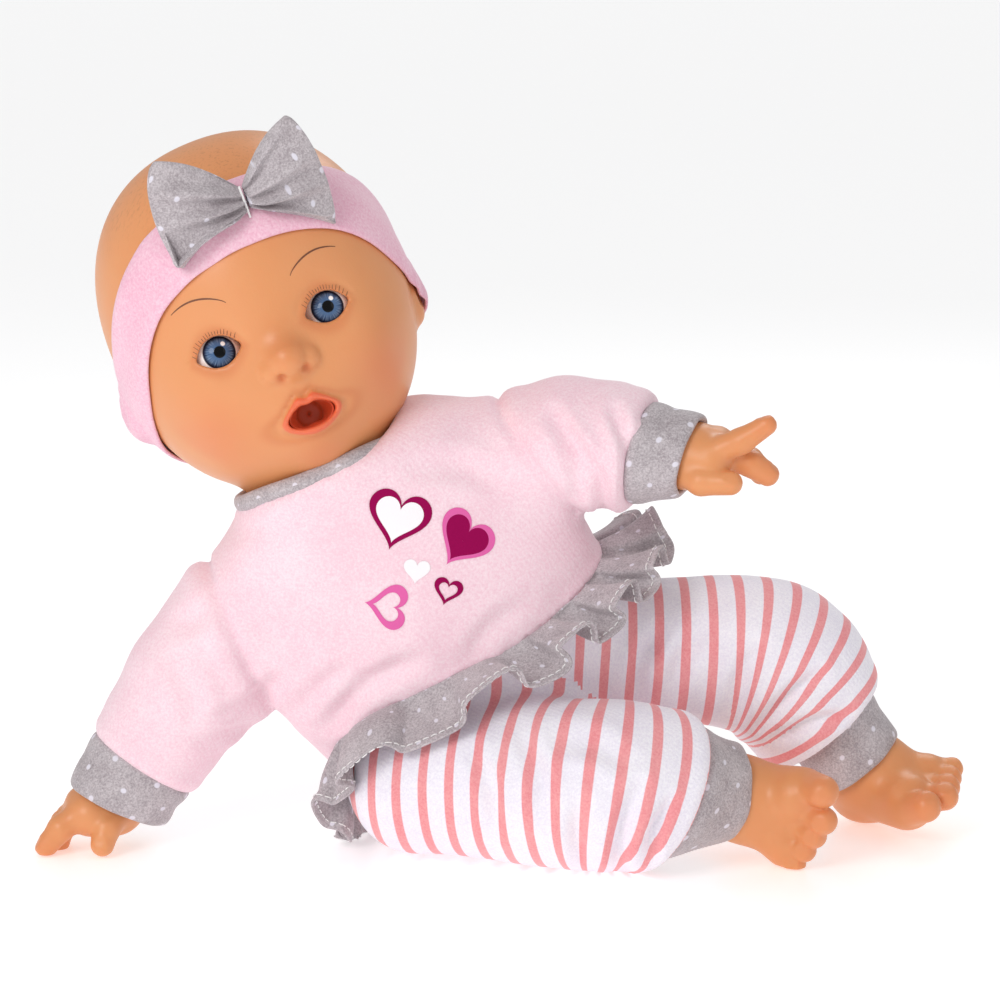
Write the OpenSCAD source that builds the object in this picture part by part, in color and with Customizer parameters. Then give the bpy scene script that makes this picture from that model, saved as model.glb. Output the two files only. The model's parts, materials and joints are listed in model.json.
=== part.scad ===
// Soft-bodied interactive baby doll, reclining on its right hip and propped on its right hand.
// Millimetres. +Z up, the doll faces -Y, its own left side is towards +X.
// Limbs are ball-ended stuffed tubes, so each one turns about the centre of its ball.

/* [Head] */
// Half width of the vinyl head
head_half_w = 53.5; // [50:0.5:56]
// Half depth of the vinyl head, front to back
head_half_d = 56; // [52:1:60]
// Half height of the vinyl head
head_half_h = 63; // [60:1:65]
// Wall of the vinyl head
head_wall = 3; // [2:0.5:4]
// Radius of the eyeball inserts
eye_r = 9; // [8:0.5:9.5]
// Distance between the eye centres
eye_gap = 40; // [38:1:44]
// Radius of the teat hole behind the lips
mouth_r = 5; // [4:0.5:5.5]

/* [Body] */
// Radius of the ball at the top of each thigh
hip_r = 24; // [22:0.5:24]
// Radius of each thigh at its widest
thigh_r = 26.5; // [24:0.5:27]
// Radius of the knee ball
knee_r = 24.5; // [22:0.5:24.5]
// Radius of the ball at the top of each arm
shoulder_r = 21.5; // [18:0.5:22]
// Radius of the wrist end of the arm
wrist_r = 14; // [12:0.5:14.5]
// Thickness of the garment fabric
cloth_t = 1.6; // [1.2:0.1:2]

/* [Sound module] */
// Width of the sound module
module_w = 62; // [58:1:64]
// Height of the sound module
module_h = 48; // [44:1:50]
// Depth of the sound module, front to back
module_d = 22; // [21:0.5:24]
// Radius of the press button
button_r = 11; // [9:0.5:12]
// Diameter of each button cell
cell_d = 11.6; // [11.4:0.1:11.8]

/* [Hidden] */

// Colours
skin = [0.93, 0.66, 0.45];
pink = [0.96, 0.80, 0.86];
grey = [0.66, 0.63, 0.64];
stripe = [0.95, 0.86, 0.89];
calico = [0.95, 0.93, 0.90];
white_abs = [0.92, 0.92, 0.90];
steel = [0.72, 0.73, 0.75];
nylon = [0.88, 0.88, 0.86];

// Joint centres at rest
neck_at = [-62, -5, 137];
pelvis_at = [4, 13, 43];
right_shoulder = [-98, 1, 77];
right_wrist = [-136, -5, 19.5];
left_shoulder = [9, -1, 146];
left_wrist = [61, -19, 145];
right_hip = [-22, -23, 28.5];
right_knee = [38, -41, 29.5];
right_ankle = [77.5, -26.5, 25.5];
left_hip = [35, 15, 69];
left_knee = [106, 19, 66];
left_ankle = [130, 21, 25.5];

// Lean of the head to the doll's right, its upward pitch and its turn to the left
head_turn = [-8, -22, 8];

// Hand frames: where the fingers point, and where the back of the hand faces
right_fingers = [-0.92, -0.2, -0.3];
right_hand_back = [-0.37, -0.1, 0.92];
left_fingers = [0.97, -0.2, 0.15];
left_hand_back = [-0.1, -0.15, 0.98];
// Foot frames: where the toes point, and where the big toe's side faces
right_toes = [0.86, -0.45, -0.1];
right_inner = [0.1, 0.0, 0.99];
left_toes = [0.62, -0.74, 0.25];
left_inner = [-0.72, -0.62, -0.3];
// Radius of each shin where it meets the ankle
right_ankle_r = 17.5;
left_ankle_r = 15;

gap = 0.4;          // between a stuffed piece and the garment over it
joint_gap = 0.8;    // between a ball and its socket
big = 400;

function unit(v) = v / norm(v);
function mix(a, b, t) = a + (b - a) * t;
// Columns are the frame's own x, y and z
function frame_matrix(x, y, z, at) = [
    [x.x, y.x, z.x, at.x], [x.y, y.y, z.y, at.y], [x.z, y.z, z.z, at.z], [0, 0, 0, 1]
];
function z_frame(d, at) =
    let (z = unit(d), x = unit(cross([0, 1, 0], z)), y = cross(z, x)) frame_matrix(x, y, z, at);
// z along one direction, y as near as it can be to another
function zy_frame(zd, yd, at) =
    let (z = unit(zd), x = unit(cross(yd, z)), y = cross(z, x)) frame_matrix(x, y, z, at);

// ---- Lofts ----
function ring(c, ax, ay, n) = [for (i = [0:n - 1]) c + cos(360 * i / n) * ax + sin(360 * i / n) * ay];
function centre_of(r) = [for (k = [0:2]) [for (p = r) p[k]] * [for (p = r) 1] / len(r)];
function wall_faces(m, n, at, out) = [
    for (k = [0:m - 2], i = [0:n - 1])
        let (j = (i + 1) % n, a = at + k * n + i, b = at + k * n + j, c = b + n, d = a + n)
            each (out ? [[a, d, c], [a, c, b]] : [[a, c, d], [a, b, c]])
];

// A closed solid through rings of points
module loft(rings) {
    n = len(rings[0]);
    m = len(rings);
    points = concat([for (r = rings) each r], [centre_of(rings[0])], [centre_of(rings[m - 1])]);
    faces = concat(
        wall_faces(m, n, 0, true),
        [for (i = [0:n - 1]) [m * n, i, (i + 1) % n]],
        [for (i = [0:n - 1]) [m * n + 1, (m - 1) * n + (i + 1) % n, (m - 1) * n + i]]
    );
    polyhedron(points, faces);
}

// A wall between outer and inner rings, open at the first ring, and closed or open at the last
module loft_wall(outer, inner, closed = false) {
    n = len(outer[0]);
    m = len(outer);
    in0 = m * n;
    last = (m - 1) * n;
    points = concat(
        [for (r = outer) each r], [for (r = inner) each r],
        [centre_of(outer[m - 1])], [centre_of(inner[m - 1])]
    );
    tips = 2 * m * n;
    faces = concat(
        wall_faces(m, n, 0, true),
        wall_faces(m, n, in0, false),
        [for (i = [0:n - 1]) let (j = (i + 1) % n) each [[i, j, in0 + j], [i, in0 + j, in0 + i]]],
        closed
        ? [for (i = [0:n - 1]) let (j = (i + 1) % n)
            each [[tips, last + j, last + i], [tips + 1, in0 + last + i, in0 + last + j]]]
        : [for (i = [0:n - 1]) let (j = (i + 1) % n)
            each [[last + i, in0 + last + j, last + j], [last + i, in0 + last + i, in0 + last + j]]]
    );
    used = closed ? points : [for (k = [0:tips - 1]) points[k]];
    polyhedron(used, faces);
}

module above(z) {
    difference() {
        children();
        translate([-big, -big, z - big]) cube([2 * big, 2 * big, big]);
    }
}

// ---- Torso shape ----
torso_up = unit(neck_at - pelvis_at);
torso_side = unit(cross([0, 1, 0], torso_up));
torso_back = cross(torso_up, torso_side);
// Height along the torso, shift to the doll's left, half width, half depth
torso_stations = [
    [-26, -8, 22, 11], [-21, -7, 38, 20], [-13, -6, 49, 27], [-2, -4, 55, 32], [12, -1, 58, 35],
    [28, 0, 61, 38], [44, 0, 64, 38], [58, 0, 64, 37], [72, 0, 61, 35], [88, 0, 58.5, 33],
    [102, 0, 57, 31], [110, 0, 52, 30], [115, 0, 43, 30], [118, 0, 34, 30.5]
];
function torso_point(u, side, back) = pelvis_at + torso_up * u + torso_side * side + torso_back * back;
function torso_ring(s, grow, n = 32) =
    ring(torso_point(s[0], s[1], 0), torso_side * (s[2] + grow), torso_back * (s[3] + grow), n);
function station_at(u) =
    let (k = max([for (i = [0:len(torso_stations) - 2]) if (torso_stations[i][0] <= u) i]),
         a = torso_stations[k], b = torso_stations[k + 1])
    mix(a, b, (u - a[0]) / (b[0] - a[0]));
function torso_rings(u0, u1, grow) = concat(
    [torso_ring(station_at(u0), grow)],
    [for (s = torso_stations) if (s[0] > u0 + 1 && s[0] < u1 - 1) torso_ring(s, grow)],
    [torso_ring(station_at(u1), grow)]
);
hem_u = 31;
neckline_u = 115;
seat_bottom_u = -25;

// Space a limb sweeps about its hinge, as a fan with a round root
module limb_room(hinge, to, r, swing, axis, n = 28) {
    reach = norm(to - hinge) + 14;
    half = (swing[1] - swing[0]) / 2;
    ahead = unit(to - hinge);
    wide = unit(cross(axis, ahead));
    high = cross(ahead, wide);
    levels = concat([for (a = [-84, -62, -42, -22]) [r * sin(a), r * cos(a)]], [[0, r], [reach / 2, r], [reach, r]]);
    rings = [
        for (l = levels) let (off = max(0, l[0]) * tan(half)) [
            for (i = [0:n - 1]) let (a = 360 * (i + 0.5) / n)
                hinge + ahead * l[0] + wide * (l[1] * cos(a) / cos(half) + sign(cos(a)) * off) + high * l[1] * sin(a)
        ]
    ];
    middle = (swing[1] + swing[0]) / 2;
    translate(hinge) rotate(middle, axis) translate(-hinge) loft(rings);
}
right_hip_swing = [-24, 8];
left_hip_swing = [-6, 24];
right_shoulder_swing = [-2, 32];
left_shoulder_swing = [-22, 22];
module thigh_rooms(grow) {
    limb_room(right_hip, right_knee, thigh_r + grow, right_hip_swing, [0, 0, 1]);
    limb_room(left_hip, left_knee, thigh_r + grow, left_hip_swing, [0, 0, 1]);
}
module limb_rooms(grow) {
    thigh_rooms(grow);
    limb_room(right_shoulder, right_wrist, shoulder_r + grow, right_shoulder_swing, [0, 1, 0]);
    limb_room(left_shoulder, left_wrist, shoulder_r + grow, left_shoulder_swing, [0, 1, 0]);
}
module neck_room(grow) {
    multmatrix(head_matrix()) translate([0, 0, neck_bottom - grow])
        cylinder(h = 40, r = neck_r + grow, $fn = 72);
    multmatrix(head_matrix()) translate([0, 0, -2.2]) cylinder(h = 40, r = 35.7, $fn = 72);
}

// ---- Head shape, in the head's own frame: origin on the neck joint, +Z to the crown, -Y to the face ----
function turn_x(a) = [[1, 0, 0], [0, cos(a), -sin(a)], [0, sin(a), cos(a)]];
function turn_y(a) = [[cos(a), 0, sin(a)], [0, 1, 0], [-sin(a), 0, cos(a)]];
function turn_z(a) = [[cos(a), -sin(a), 0], [sin(a), cos(a), 0], [0, 0, 1]];
head_rot = turn_z(head_turn.z) * turn_y(head_turn.y) * turn_x(head_turn.x);
function head_matrix() = frame_matrix(
    head_rot * [1, 0, 0], head_rot * [0, 1, 0], head_rot * [0, 0, 1], neck_at
);
head_mid = [0, 0, 62];
neck_r = 27;
neck_bottom = -19;
groove_r = 24;
groove_z = [-15, -9];
eye_z = 53;
eye_y = -39.5;
mouth_x = 1.5;
mouth_z = 23;
// Bumps on the head: azimuth, elevation, height, angular width
head_bumps = [
    [-90, -9, 8, 7], [-60, -24, 2, 17], [-120, -24, 2, 17], [-90, -50, 3, 14],
    [-90, -36, 3, 9], [-90, 32, 2, 30], [90, 12, 3, 40], [0, -16, 4, 7], [180, -16, 4, 7],
    [-62, -7, -2, 9], [-118, -7, -2, 9]
];
function dir(az, el) = [cos(el) * cos(az), cos(el) * sin(az), sin(el)];
function bump(d, b) =
    let (a = acos(max(-1, min(1, d * dir(b[0], b[1]))))) b[2] * exp(-pow(a / b[3], 2));
function head_radius(d, grow) =
    1 / pow(
        pow(pow(d.x / head_half_w, 2) + pow(d.y / head_half_d, 2), 1.125) + pow(abs(d.z) / head_half_h, 2.25),
        1 / 2.25
    )
    + [for (b = head_bumps) bump(d, b)] * [for (b = head_bumps) 1] + grow;
function head_ring(el, grow, n) = [
    for (i = [0:n - 1]) let (d = dir(360 * i / n, el)) head_mid + d * head_radius(d, grow)
];
head_levels = [-58, -50, -42, -34, -27, -20, -14, -8, -2, 5, 13, 23, 35, 48, 61, 74, 84];
neck_profile = [
    [neck_bottom, neck_r], [groove_z[0] - 1, neck_r], [groove_z[0], groove_r],
    [groove_z[1], groove_r], [groove_z[1] + 1, neck_r], [2, neck_r], [7, neck_r + 1.5]
];
function head_rings(grow, n = 44) = concat(
    [for (p = neck_profile) ring([0, 0, p[0]], [p[1] + grow, 0, 0], [0, p[1] + grow, 0], n)],
    [for (el = head_levels) head_ring(el, grow, n)]
);
module eye_place(side) {
    translate([side * eye_gap / 2, eye_y, eye_z]) rotate([90, 0, side * 8]) children();
}

module head_shell() {
    color(skin) multmatrix(head_matrix()) difference() {
        loft_wall(head_rings(0), head_rings(-head_wall), true);
        for (side = [-1, 1]) eye_place(side) sphere(eye_r + 0.25, $fn = 48);
        translate([mouth_x, 0, mouth_z]) rotate([90, 0, 0]) cylinder(h = 90, r = mouth_r + 2.25, $fn = 48);
    }
}
module eye(side) {
    color("steelblue") multmatrix(head_matrix()) eye_place(side) difference() {
        sphere(eye_r, $fn = 48);
        translate([0, 0, -2 * eye_r]) cylinder(h = 1.6 * eye_r, r = 2 * eye_r, $fn = 48);
    }
}
module mouth_liner() {
    lip_y = 50;
    depth = 22;
    color("firebrick") multmatrix(head_matrix()) translate([mouth_x, -lip_y + depth, mouth_z]) rotate([90, 0, 0])
        difference() {
            cylinder(h = depth, r = mouth_r + 2, $fn = 48);
            translate([0, 0, 2]) cylinder(h = depth, r = mouth_r, $fn = 48);
        }
}

// Headband: a loop around the head, low at the nape and high on the brow
band_tilt = 30;
band_roll = 5;
function band_dir(az, el) =
    turn_y(-band_roll) * turn_x(-band_tilt) * dir(az, el);
function band_ring(az, grow) = [
    for (k = [0:11]) let (
        el = 1 + 15.5 * cos(30 * k), out = grow + 1.3 * sin(30 * k), d = band_dir(az, el)
    ) head_mid + d * head_radius(d, out)
];
module headband() {
    n = 44;
    rings = [for (i = [0:n - 1]) band_ring(360 * i / n, 1.9)];
    points = [for (r = rings) each r];
    faces = [for (i = [0:n - 1], k = [0:11]) let (
        j = (i + 1) % n, l = (k + 1) % 12, a = i * 12 + k, b = i * 12 + l, c = j * 12 + l, d = j * 12 + k
    ) each [[a, b, c], [a, c, d]]];
    color(pink) multmatrix(head_matrix()) polyhedron(points, faces);
}
module bow_frame() {
    multmatrix(head_matrix()) translate([9, -54, 99]) rotate([26, 0, 3]) children();
}
module headband_bow() {
    color(grey) difference() {
        bow_frame() for (side = [-1, 1]) hull() {
            translate([side * 2.5, 0, 4]) sphere(3, $fn = 16);
            translate([side * 2.5, 0, -4]) sphere(3, $fn = 16);
            translate([side * 25, -1, 21]) sphere(3, $fn = 16);
            translate([side * 27, -1, -20]) sphere(3, $fn = 16);
        }
        multmatrix(head_matrix()) loft(head_rings(3.6));
    }
}
module bow_stitch() {
    color("white") bow_frame() translate([0, -4.6, 0]) cylinder(h = 12, r = 0.4, center = true, $fn = 16);
}

// ---- Torso pieces ----
module_u = 52;
module module_frame() {
    multmatrix(frame_matrix(torso_side, torso_up, -torso_back, torso_point(module_u, 0, 0))) children();
}
module cloth_body() {
    color(calico) difference() {
        loft(torso_rings(-24, 116, 0));
        limb_rooms(cloth_t + 1.4);
        neck_room(0.9);
        module_frame() {
            cube([module_w + 2, module_h + 2, module_d + 2.4], center = true);
            translate([button_at.x, button_at.y, 0]) cylinder(h = half_d + 4.2, r = button_r + 1.2, $fn = 48);
            translate([0, 1, -30]) cube([50, 28, 60], center = true);
        }
    }
}
module neck_tie() {
    mid = (groove_z[0] + groove_z[1]) / 2;
    color(nylon) multmatrix(head_matrix()) translate([0, 0, mid - 2]) difference() {
        cylinder(h = 4, r = neck_r + 0.4, $fn = 72);
        translate([0, 0, -1]) cylinder(h = 6, r = groove_r + 0.4, $fn = 72);
    }
}
module torso_cover(u0, u1, low, high) {
    difference() {
        loft_wall(torso_rings(u0, u1, high), torso_rings(u0, u1, low));
        limb_rooms(cloth_t + 1.4);
        neck_room(1.5);
    }
}
module top_bodice() {
    color(pink) torso_cover(hem_u, neckline_u, gap, gap + cloth_t);
}
function upside_down(rings) = [
    for (k = [len(rings) - 1:-1:0]) let (r = rings[k], n = len(r)) [for (i = [0:n - 1]) r[(n - i) % n]]
];
module leggings_seat() {
    color(stripe) above(0) difference() {
        loft_wall(
            upside_down(torso_rings(seat_bottom_u - 1, 19, gap + 2)),
            upside_down(torso_rings(seat_bottom_u, 19, gap)), true
        );
        limb_rooms(cloth_t + 1.4);
    }
}
module waist_elastic() {
    color("white") torso_cover(19.5, 30, gap, gap + cloth_t);
}
module neck_binding() {
    color(grey) multmatrix(head_matrix()) translate([0, 0, 1]) rotate_extrude($fn = 72)
        translate([32.5, 0]) circle(2.6, $fn = 24);
}
module back_closure() {
    color("white") intersection() {
        loft_wall(torso_rings(hem_u, 100, gap + cloth_t + 1.8), torso_rings(hem_u, 100, gap + cloth_t + 0.4));
        module_frame() for (x = [-1, 1]) translate([x * 5, 20, -60]) cube([8, 60, 60], center = true);
    }
}
// Gathered strip below the hem: waves grow towards its free edge
ruffle_n = 96;
ruffle_waves = 16;
ruffle_out = 12;
ruffle_drop = 21;
function ruffle_ring(t, lift) = [
    for (i = [0:ruffle_n - 1]) let (
        a = 360 * i / ruffle_n, wave = t * 3 * sin(ruffle_waves * a),
        s = station_at(hem_u - 1.5), out = 3 + (ruffle_out + 7 * cos(a)) * t + wave + lift
    ) torso_point(hem_u - 1.5 - ruffle_drop * t, s[1] + cos(a) * (s[2] + out), sin(a) * (s[3] + out))
];
module hem_ruffle() {
    color(grey) above(0.4) difference() {
        loft_wall(
            [for (t = [1, 0.66, 0.33, 0]) ruffle_ring(t, 0.6)],
            [for (t = [1, 0.66, 0.33, 0]) ruffle_ring(t, -0.6)]
        );
        thigh_rooms(cloth_t + 1.4);
    }
}

// ---- Sound module: +Z of its frame faces the belly ----
half_d = module_d / 2;
wall = 1.6;
split_z = 3;
button_at = [-16, 3];
speaker_at = [16, 3];
speaker_r = 13.5;
screw_at = [module_w / 2 - 5, module_h / 2 - 5];
board_z = -2;
board_t = 1.2;
button_travel = 1.5;
switch_at = [21, 16];
module corners() {
    for (x = [-1, 1], y = [-1, 1]) translate([x * screw_at.x, y * screw_at.y, 0]) children();
}
module plate(w, h, r, t) {
    hull() for (x = [-1, 1], y = [-1, 1])
        translate([x * (w / 2 - r), y * (h / 2 - r), 0]) cylinder(h = t, r = r, $fn = 32);
}
module box_shell(z0, z1, open_top) {
    difference() {
        translate([0, 0, z0]) plate(module_w, module_h, 6, z1 - z0);
        translate([0, 0, open_top ? z0 + wall : z0 - 1])
            plate(module_w - 2 * wall, module_h - 2 * wall, 4.5, z1 - z0 - wall + 1);
    }
}
module module_front_housing() {
    color(white_abs) module_frame() difference() {
        union() {
            box_shell(split_z, half_d, false);
            corners() translate([0, 0, split_z]) cylinder(h = half_d - split_z - 1, r = 3, $fn = 32);
        }
        translate([button_at.x, button_at.y, 0]) cylinder(h = 20, r = button_r + 0.4, $fn = 48);
        for (y = [-8:4:8]) translate([speaker_at.x, speaker_at.y + y, half_d])
            cube([18, 1.6, 8], center = true);
        corners() cylinder(h = half_d - 3, r = 0.9, $fn = 24);
    }
}
module module_rear_housing() {
    color(white_abs) module_frame() difference() {
        union() {
            box_shell(-half_d, split_z, true);
            corners() translate([0, 0, -half_d]) cylinder(h = half_d + split_z, r = 3, $fn = 32);
            translate([0, 0, -half_d + 3.7]) cube([41, 16, 7.4], center = true);
        }
        translate([0, 0, -half_d + 3.1]) cube([38.6, 13.6, 6.4], center = true);
        translate([0, 0, -half_d]) cube([47, 17, 2], center = true);
        translate([switch_at.x - 4.5, switch_at.y - 7.5, -half_d - 1]) cube([9, 3.6, 4]);
        corners() {
            translate([0, 0, -half_d - 1]) cylinder(h = 3, r = 2.2, $fn = 32);
            translate([0, 0, -half_d]) cylinder(h = 20, r = 1.3, $fn = 24);
        }
        translate([21, 0, -half_d - 1]) cylinder(h = 6, r = 0.8, $fn = 24);
    }
}
module battery_door() {
    color(white_abs) module_frame() difference() {
        translate([0, 0, -half_d + 0.45]) cube([46.4, 16.4, 0.9], center = true);
        translate([21, 0, -half_d - 1]) cylinder(h = 4, r = 1.2, $fn = 24);
    }
}
module screw(head_r, shank_r, length) {
    cylinder(h = 1.2, r = head_r, $fn = 32);
    translate([0, 0, 1]) cylinder(h = length - 1, r = shank_r, $fn = 24);
}
module battery_door_screw() {
    color(steel) module_frame() translate([21, 0, -half_d - 1.3]) difference() {
        screw(1.9, 0.7, 5.5);
        translate([0, 0, 0]) cube([2.4, 0.5, 0.8], center = true);
    }
}
module housing_screws() {
    color(steel) module_frame() corners() translate([0, 0, -half_d + 0.4]) difference() {
        screw(2, 0.8, 17);
        cube([2.6, 0.6, 0.8], center = true);
    }
}
module circuit_board() {
    color("darkgreen") module_frame() translate([0, 0, board_z - board_t]) difference() {
        plate(module_w - 5, module_h - 5, 3, board_t);
        corners() translate([0, 0, -1]) cylinder(h = 4, r = 3.3, $fn = 32);
        translate([speaker_at.x, speaker_at.y, -1]) cylinder(h = 4, r = 8.4, $fn = 48);
    }
}
module speaker() {
    color("dimgray") module_frame() translate([speaker_at.x, speaker_at.y, 0]) difference() {
        union() {
            translate([0, 0, half_d - wall - 4]) cylinder(h = 3.6, r = speaker_r, $fn = 64);
            translate([0, 0, half_d - wall - 7]) cylinder(h = 3.2, r1 = 9, r2 = 12.5, $fn = 64);
        }
        translate([0, 0, half_d - wall - 2.6]) cylinder(h = 4, r1 = 5, r2 = speaker_r - 1.5, $fn = 64);
    }
}
module speaker_magnet() {
    color(steel) module_frame() translate([speaker_at.x, speaker_at.y, half_d - wall - 10.2])
        cylinder(h = 3, r = 7.5, $fn = 48);
}
// A round wire along points, as one swept solid
function tube_rings(path, r, n) = [
    for (k = [0:len(path) - 1]) let (
        t = unit(path[min(k + 1, len(path) - 1)] - path[max(k - 1, 0)]),
        side = unit(cross(t, abs(t.z) > 0.9 ? [1, 0, 0] : [0, 0, 1]))
    ) ring(path[k], side * r, cross(t, side) * r, n)
];
function bend(a, b, c, n) = [
    for (i = [0:n]) let (t = i / n) a * pow(1 - t, 2) + b * 2 * t * (1 - t) + c * pow(t, 2)
];
module speaker_wires() {
    color("crimson") module_frame() for (y = [-2, 2])
        loft(tube_rings(bend([4.5, y + 3, 3.4], [0.5, y + 3, 2.8], [0.5, y + 3, -1.8], 8), 0.5, 8));
}
module button_cells() {
    color(steel) module_frame() for (x = [-1:1]) translate([x * (cell_d + 0.6), 0, -half_d + 1.05])
        rotate([0, 0, 0]) cylinder(h = 4.6, r = cell_d / 2, $fn = 48);
}
module battery_contacts() {
    color("gold") module_frame() for (x = [-1:1]) translate([x * (cell_d + 0.6), 0, -half_d + 5.95])
        cube([8, 5, 0.4], center = true);
}
module tact_switch() {
    color("black") module_frame() translate([button_at.x, button_at.y, board_z]) {
        translate([0, 0, 1.75]) cube([6, 6, 3.5], center = true);
        cylinder(h = 4.6, r = 1.6, $fn = 24);
    }
}
module press_button() {
    color("hotpink") module_frame() translate([button_at.x, button_at.y, 0]) difference() {
        union() {
            translate([0, 0, half_d - wall - 1.4]) cylinder(h = 1.2, r = button_r + 1.6, $fn = 64);
            translate([0, 0, half_d - wall - 1.4]) cylinder(h = wall + 4.6, r = button_r, $fn = 64);
            translate([0, 0, 4.3]) cylinder(h = 4, r = 1.5, $fn = 24);
        }
        difference() {
            translate([0, 0, half_d - wall - 2]) cylinder(h = wall + 3.2, r = button_r - 1.6, $fn = 64);
            cylinder(h = 20, r = 1.5, $fn = 24);
        }
    }
}
spring_turns = 3.5;
spring_top = half_d + 1;
function helix(turns, r, z0, z1, steps) = [
    for (i = [0:steps]) let (t = i / steps) [r * cos(360 * turns * t), r * sin(360 * turns * t), mix(z0, z1, t)]
];
module button_spring() {
    color(steel) module_frame() translate([button_at.x, button_at.y, 0])
        loft(tube_rings(helix(spring_turns, 6.6, board_z + 0.45, spring_top - 0.5, 42), 0.35, 8));
}
module slide_switch() {
    color("black") module_frame() translate([switch_at.x, switch_at.y - 5.7, -half_d]) {
        translate([-2.6, -1.4, -0.8]) cube([2.8, 2.8, 3.4]);
    }
}

// ---- Stuffed limbs: solids of revolution about the line between two joints ----
function ball_arc(r, a0, a1, n) = [for (i = [0:n]) let (a = a0 + (a1 - a0) * i / n) [r * cos(a), r * sin(a)]];
// Outline from the back of the ball, along the tube's stations, to its far end
function limb_outline(r0, stations, grow) = concat(
    ball_arc(r0 + grow, -90, 0, 10), [for (s = stations) [s[1] + grow, s[0]]]
);
module limb_solid(from, to, r0, stations, dish) {
    length = norm(to - from);
    last = stations[len(stations) - 1];
    multmatrix(z_frame(to - from, from)) difference() {
        rotate_extrude($fn = 64) polygon(concat([[0, -r0]], limb_outline(r0, stations, 0), [[0, last[0]]]));
        if (dish > 0) translate([0, 0, length]) sphere(dish, $fn = 64);
        if (dish < 0) translate([0, 0, last[0] + dish]) cylinder(h = 40, r = -dish, $fn = 48);
    }
}
// Fabric tube around a limb, open at both ends
module limb_cover(from, to, r0, stations, from_angle, thick) {
    outer = concat(ball_arc(r0 + gap + thick, from_angle, 0, 6), [for (s = stations) [s[1] + gap + thick, s[0]]]);
    inner = concat(ball_arc(r0 + gap, from_angle, 0, 6), [for (s = stations) [s[1] + gap, s[0]]]);
    back = [for (i = [len(inner) - 1:-1:0]) inner[i]];
    multmatrix(z_frame(to - from, from)) rotate_extrude($fn = 64) polygon(concat(outer, back));
}
module limb_band(from, to, z0, z1, r0, r1, thick) {
    multmatrix(z_frame(to - from, from)) rotate_extrude($fn = 64)
        polygon([[r0, z0], [r0 + thick, z0], [r1 + thick, z1], [r1, z1]]);
}
knee_dish = knee_r + cloth_t + gap + joint_gap + 0.4;
function thigh_stations(length) = [
    [length * 0.3, thigh_r - 0.3], [length * 0.5, thigh_r], [length - 19, knee_r + 1]
];
function shin_stations(length, end_r) = [
    [length * 0.25, knee_r], [length * 0.5, mix(knee_r, end_r, 0.35)], [length - 8, end_r + 1], [length - 4, end_r]
];
function arm_stations(length) = [
    [length * 0.35, shoulder_r - 0.5], [length * 0.65, shoulder_r - 2.5], [length - 8, wrist_r + 1.5],
    [length - 4, wrist_r]
];
ankle_stem_r = 13;
wrist_stem_r = 10;

module thigh(hip, knee) {
    limb_solid(hip, knee, hip_r, thigh_stations(norm(knee - hip)), knee_dish);
}
module legging_thigh(hip, knee) {
    difference() {
        limb_cover(hip, knee, hip_r, thigh_stations(norm(knee - hip)), -50, cloth_t);
        translate(knee) sphere(knee_dish, $fn = 64);
    }
}
module shin(knee, ankle, end_r) {
    limb_solid(knee, ankle, knee_r, shin_stations(norm(ankle - knee), end_r), -(ankle_stem_r + 0.4));
}
module legging_shin(knee, ankle, end_r) {
    length = norm(ankle - knee);
    limb_cover(
        knee, ankle, knee_r, [for (s = shin_stations(length, end_r)) if (s[0] < length - 9) s], -60, cloth_t
    );
}
module legging_cuff(knee, ankle, end_r, rim_r) {
    length = norm(ankle - knee);
    seam_r = mix(knee_r, end_r, 0.35);
    limb_band(knee, ankle, length * 0.5 + 2, length + 1, seam_r + 0.6, rim_r, cloth_t);
}
module end_tie(from, to, r) {
    length = norm(to - from);
    color(nylon) limb_band(from, to, length - 7, length - 4.4, r, r, 0.5);
}
module arm(shoulder, wrist) {
    limb_solid(shoulder, wrist, shoulder_r, arm_stations(norm(wrist - shoulder)), -(wrist_stem_r + 0.4));
}
module sleeve(shoulder, wrist) {
    length = norm(wrist - shoulder);
    limb_cover(
        shoulder, wrist, shoulder_r, [for (s = arm_stations(length)) if (s[0] < length - 9) s], -50, cloth_t
    );
}
module sleeve_cuff(shoulder, wrist, rim_r) {
    length = norm(wrist - shoulder);
    limb_band(shoulder, wrist, length - 11, length + 6, wrist_r + 2.9, rim_r, cloth_t);
}

// ---- Vinyl hands and feet ----
module blob(a, ra, b, rb) {
    hull() {
        translate(a) sphere(ra, $fn = 16);
        translate(b) sphere(rb, $fn = 16);
    }
}
module stem(from, to, r, depth) {
    multmatrix(z_frame(to - from, to)) translate([0, 0, -depth])
        cylinder(h = depth + 6, r = r, $fn = 48);
}
// Hand frame: +Y along the fingers, +Z out of the back of the hand, thumb towards -X times side
module hand_shape(side, curl) {
    blob([0, 5, 0], 10.5, [0, 12, 0], 10);
    hull() {
        translate([-7, 14, 0]) sphere(7.5, $fn = 16);
        translate([7, 14, -1]) sphere(6.5, $fn = 16);
        translate([0, 8, 0]) sphere(9, $fn = 16);
    }
    // The index finger is nearly straight and the others curl towards the palm
    blob([-side * 6.5, 17, 2], 4.8, [-side * 7, 30, curl ? 4 : -3], 3.8);
    for (f = [[-1.5, 19, 9], [3.5, 18, 9], [8, 16, 8]])
        blob([side * f.x, f.y, 0], 4.8, [side * f.x, f.y + (curl ? 6 : 10), curl ? -f.z : -f.z / 2], 4.2);
    blob([-side * 8, 6, -4], 5, [-side * 12, 15, curl ? -8 : -5], 4.2);
}
module hand(shoulder, wrist, fingers, back, side, curl) {
    multmatrix(zy_frame(back, fingers, wrist)) hand_shape(side, curl);
    stem(shoulder, wrist, wrist_stem_r, 11);
}
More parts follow.
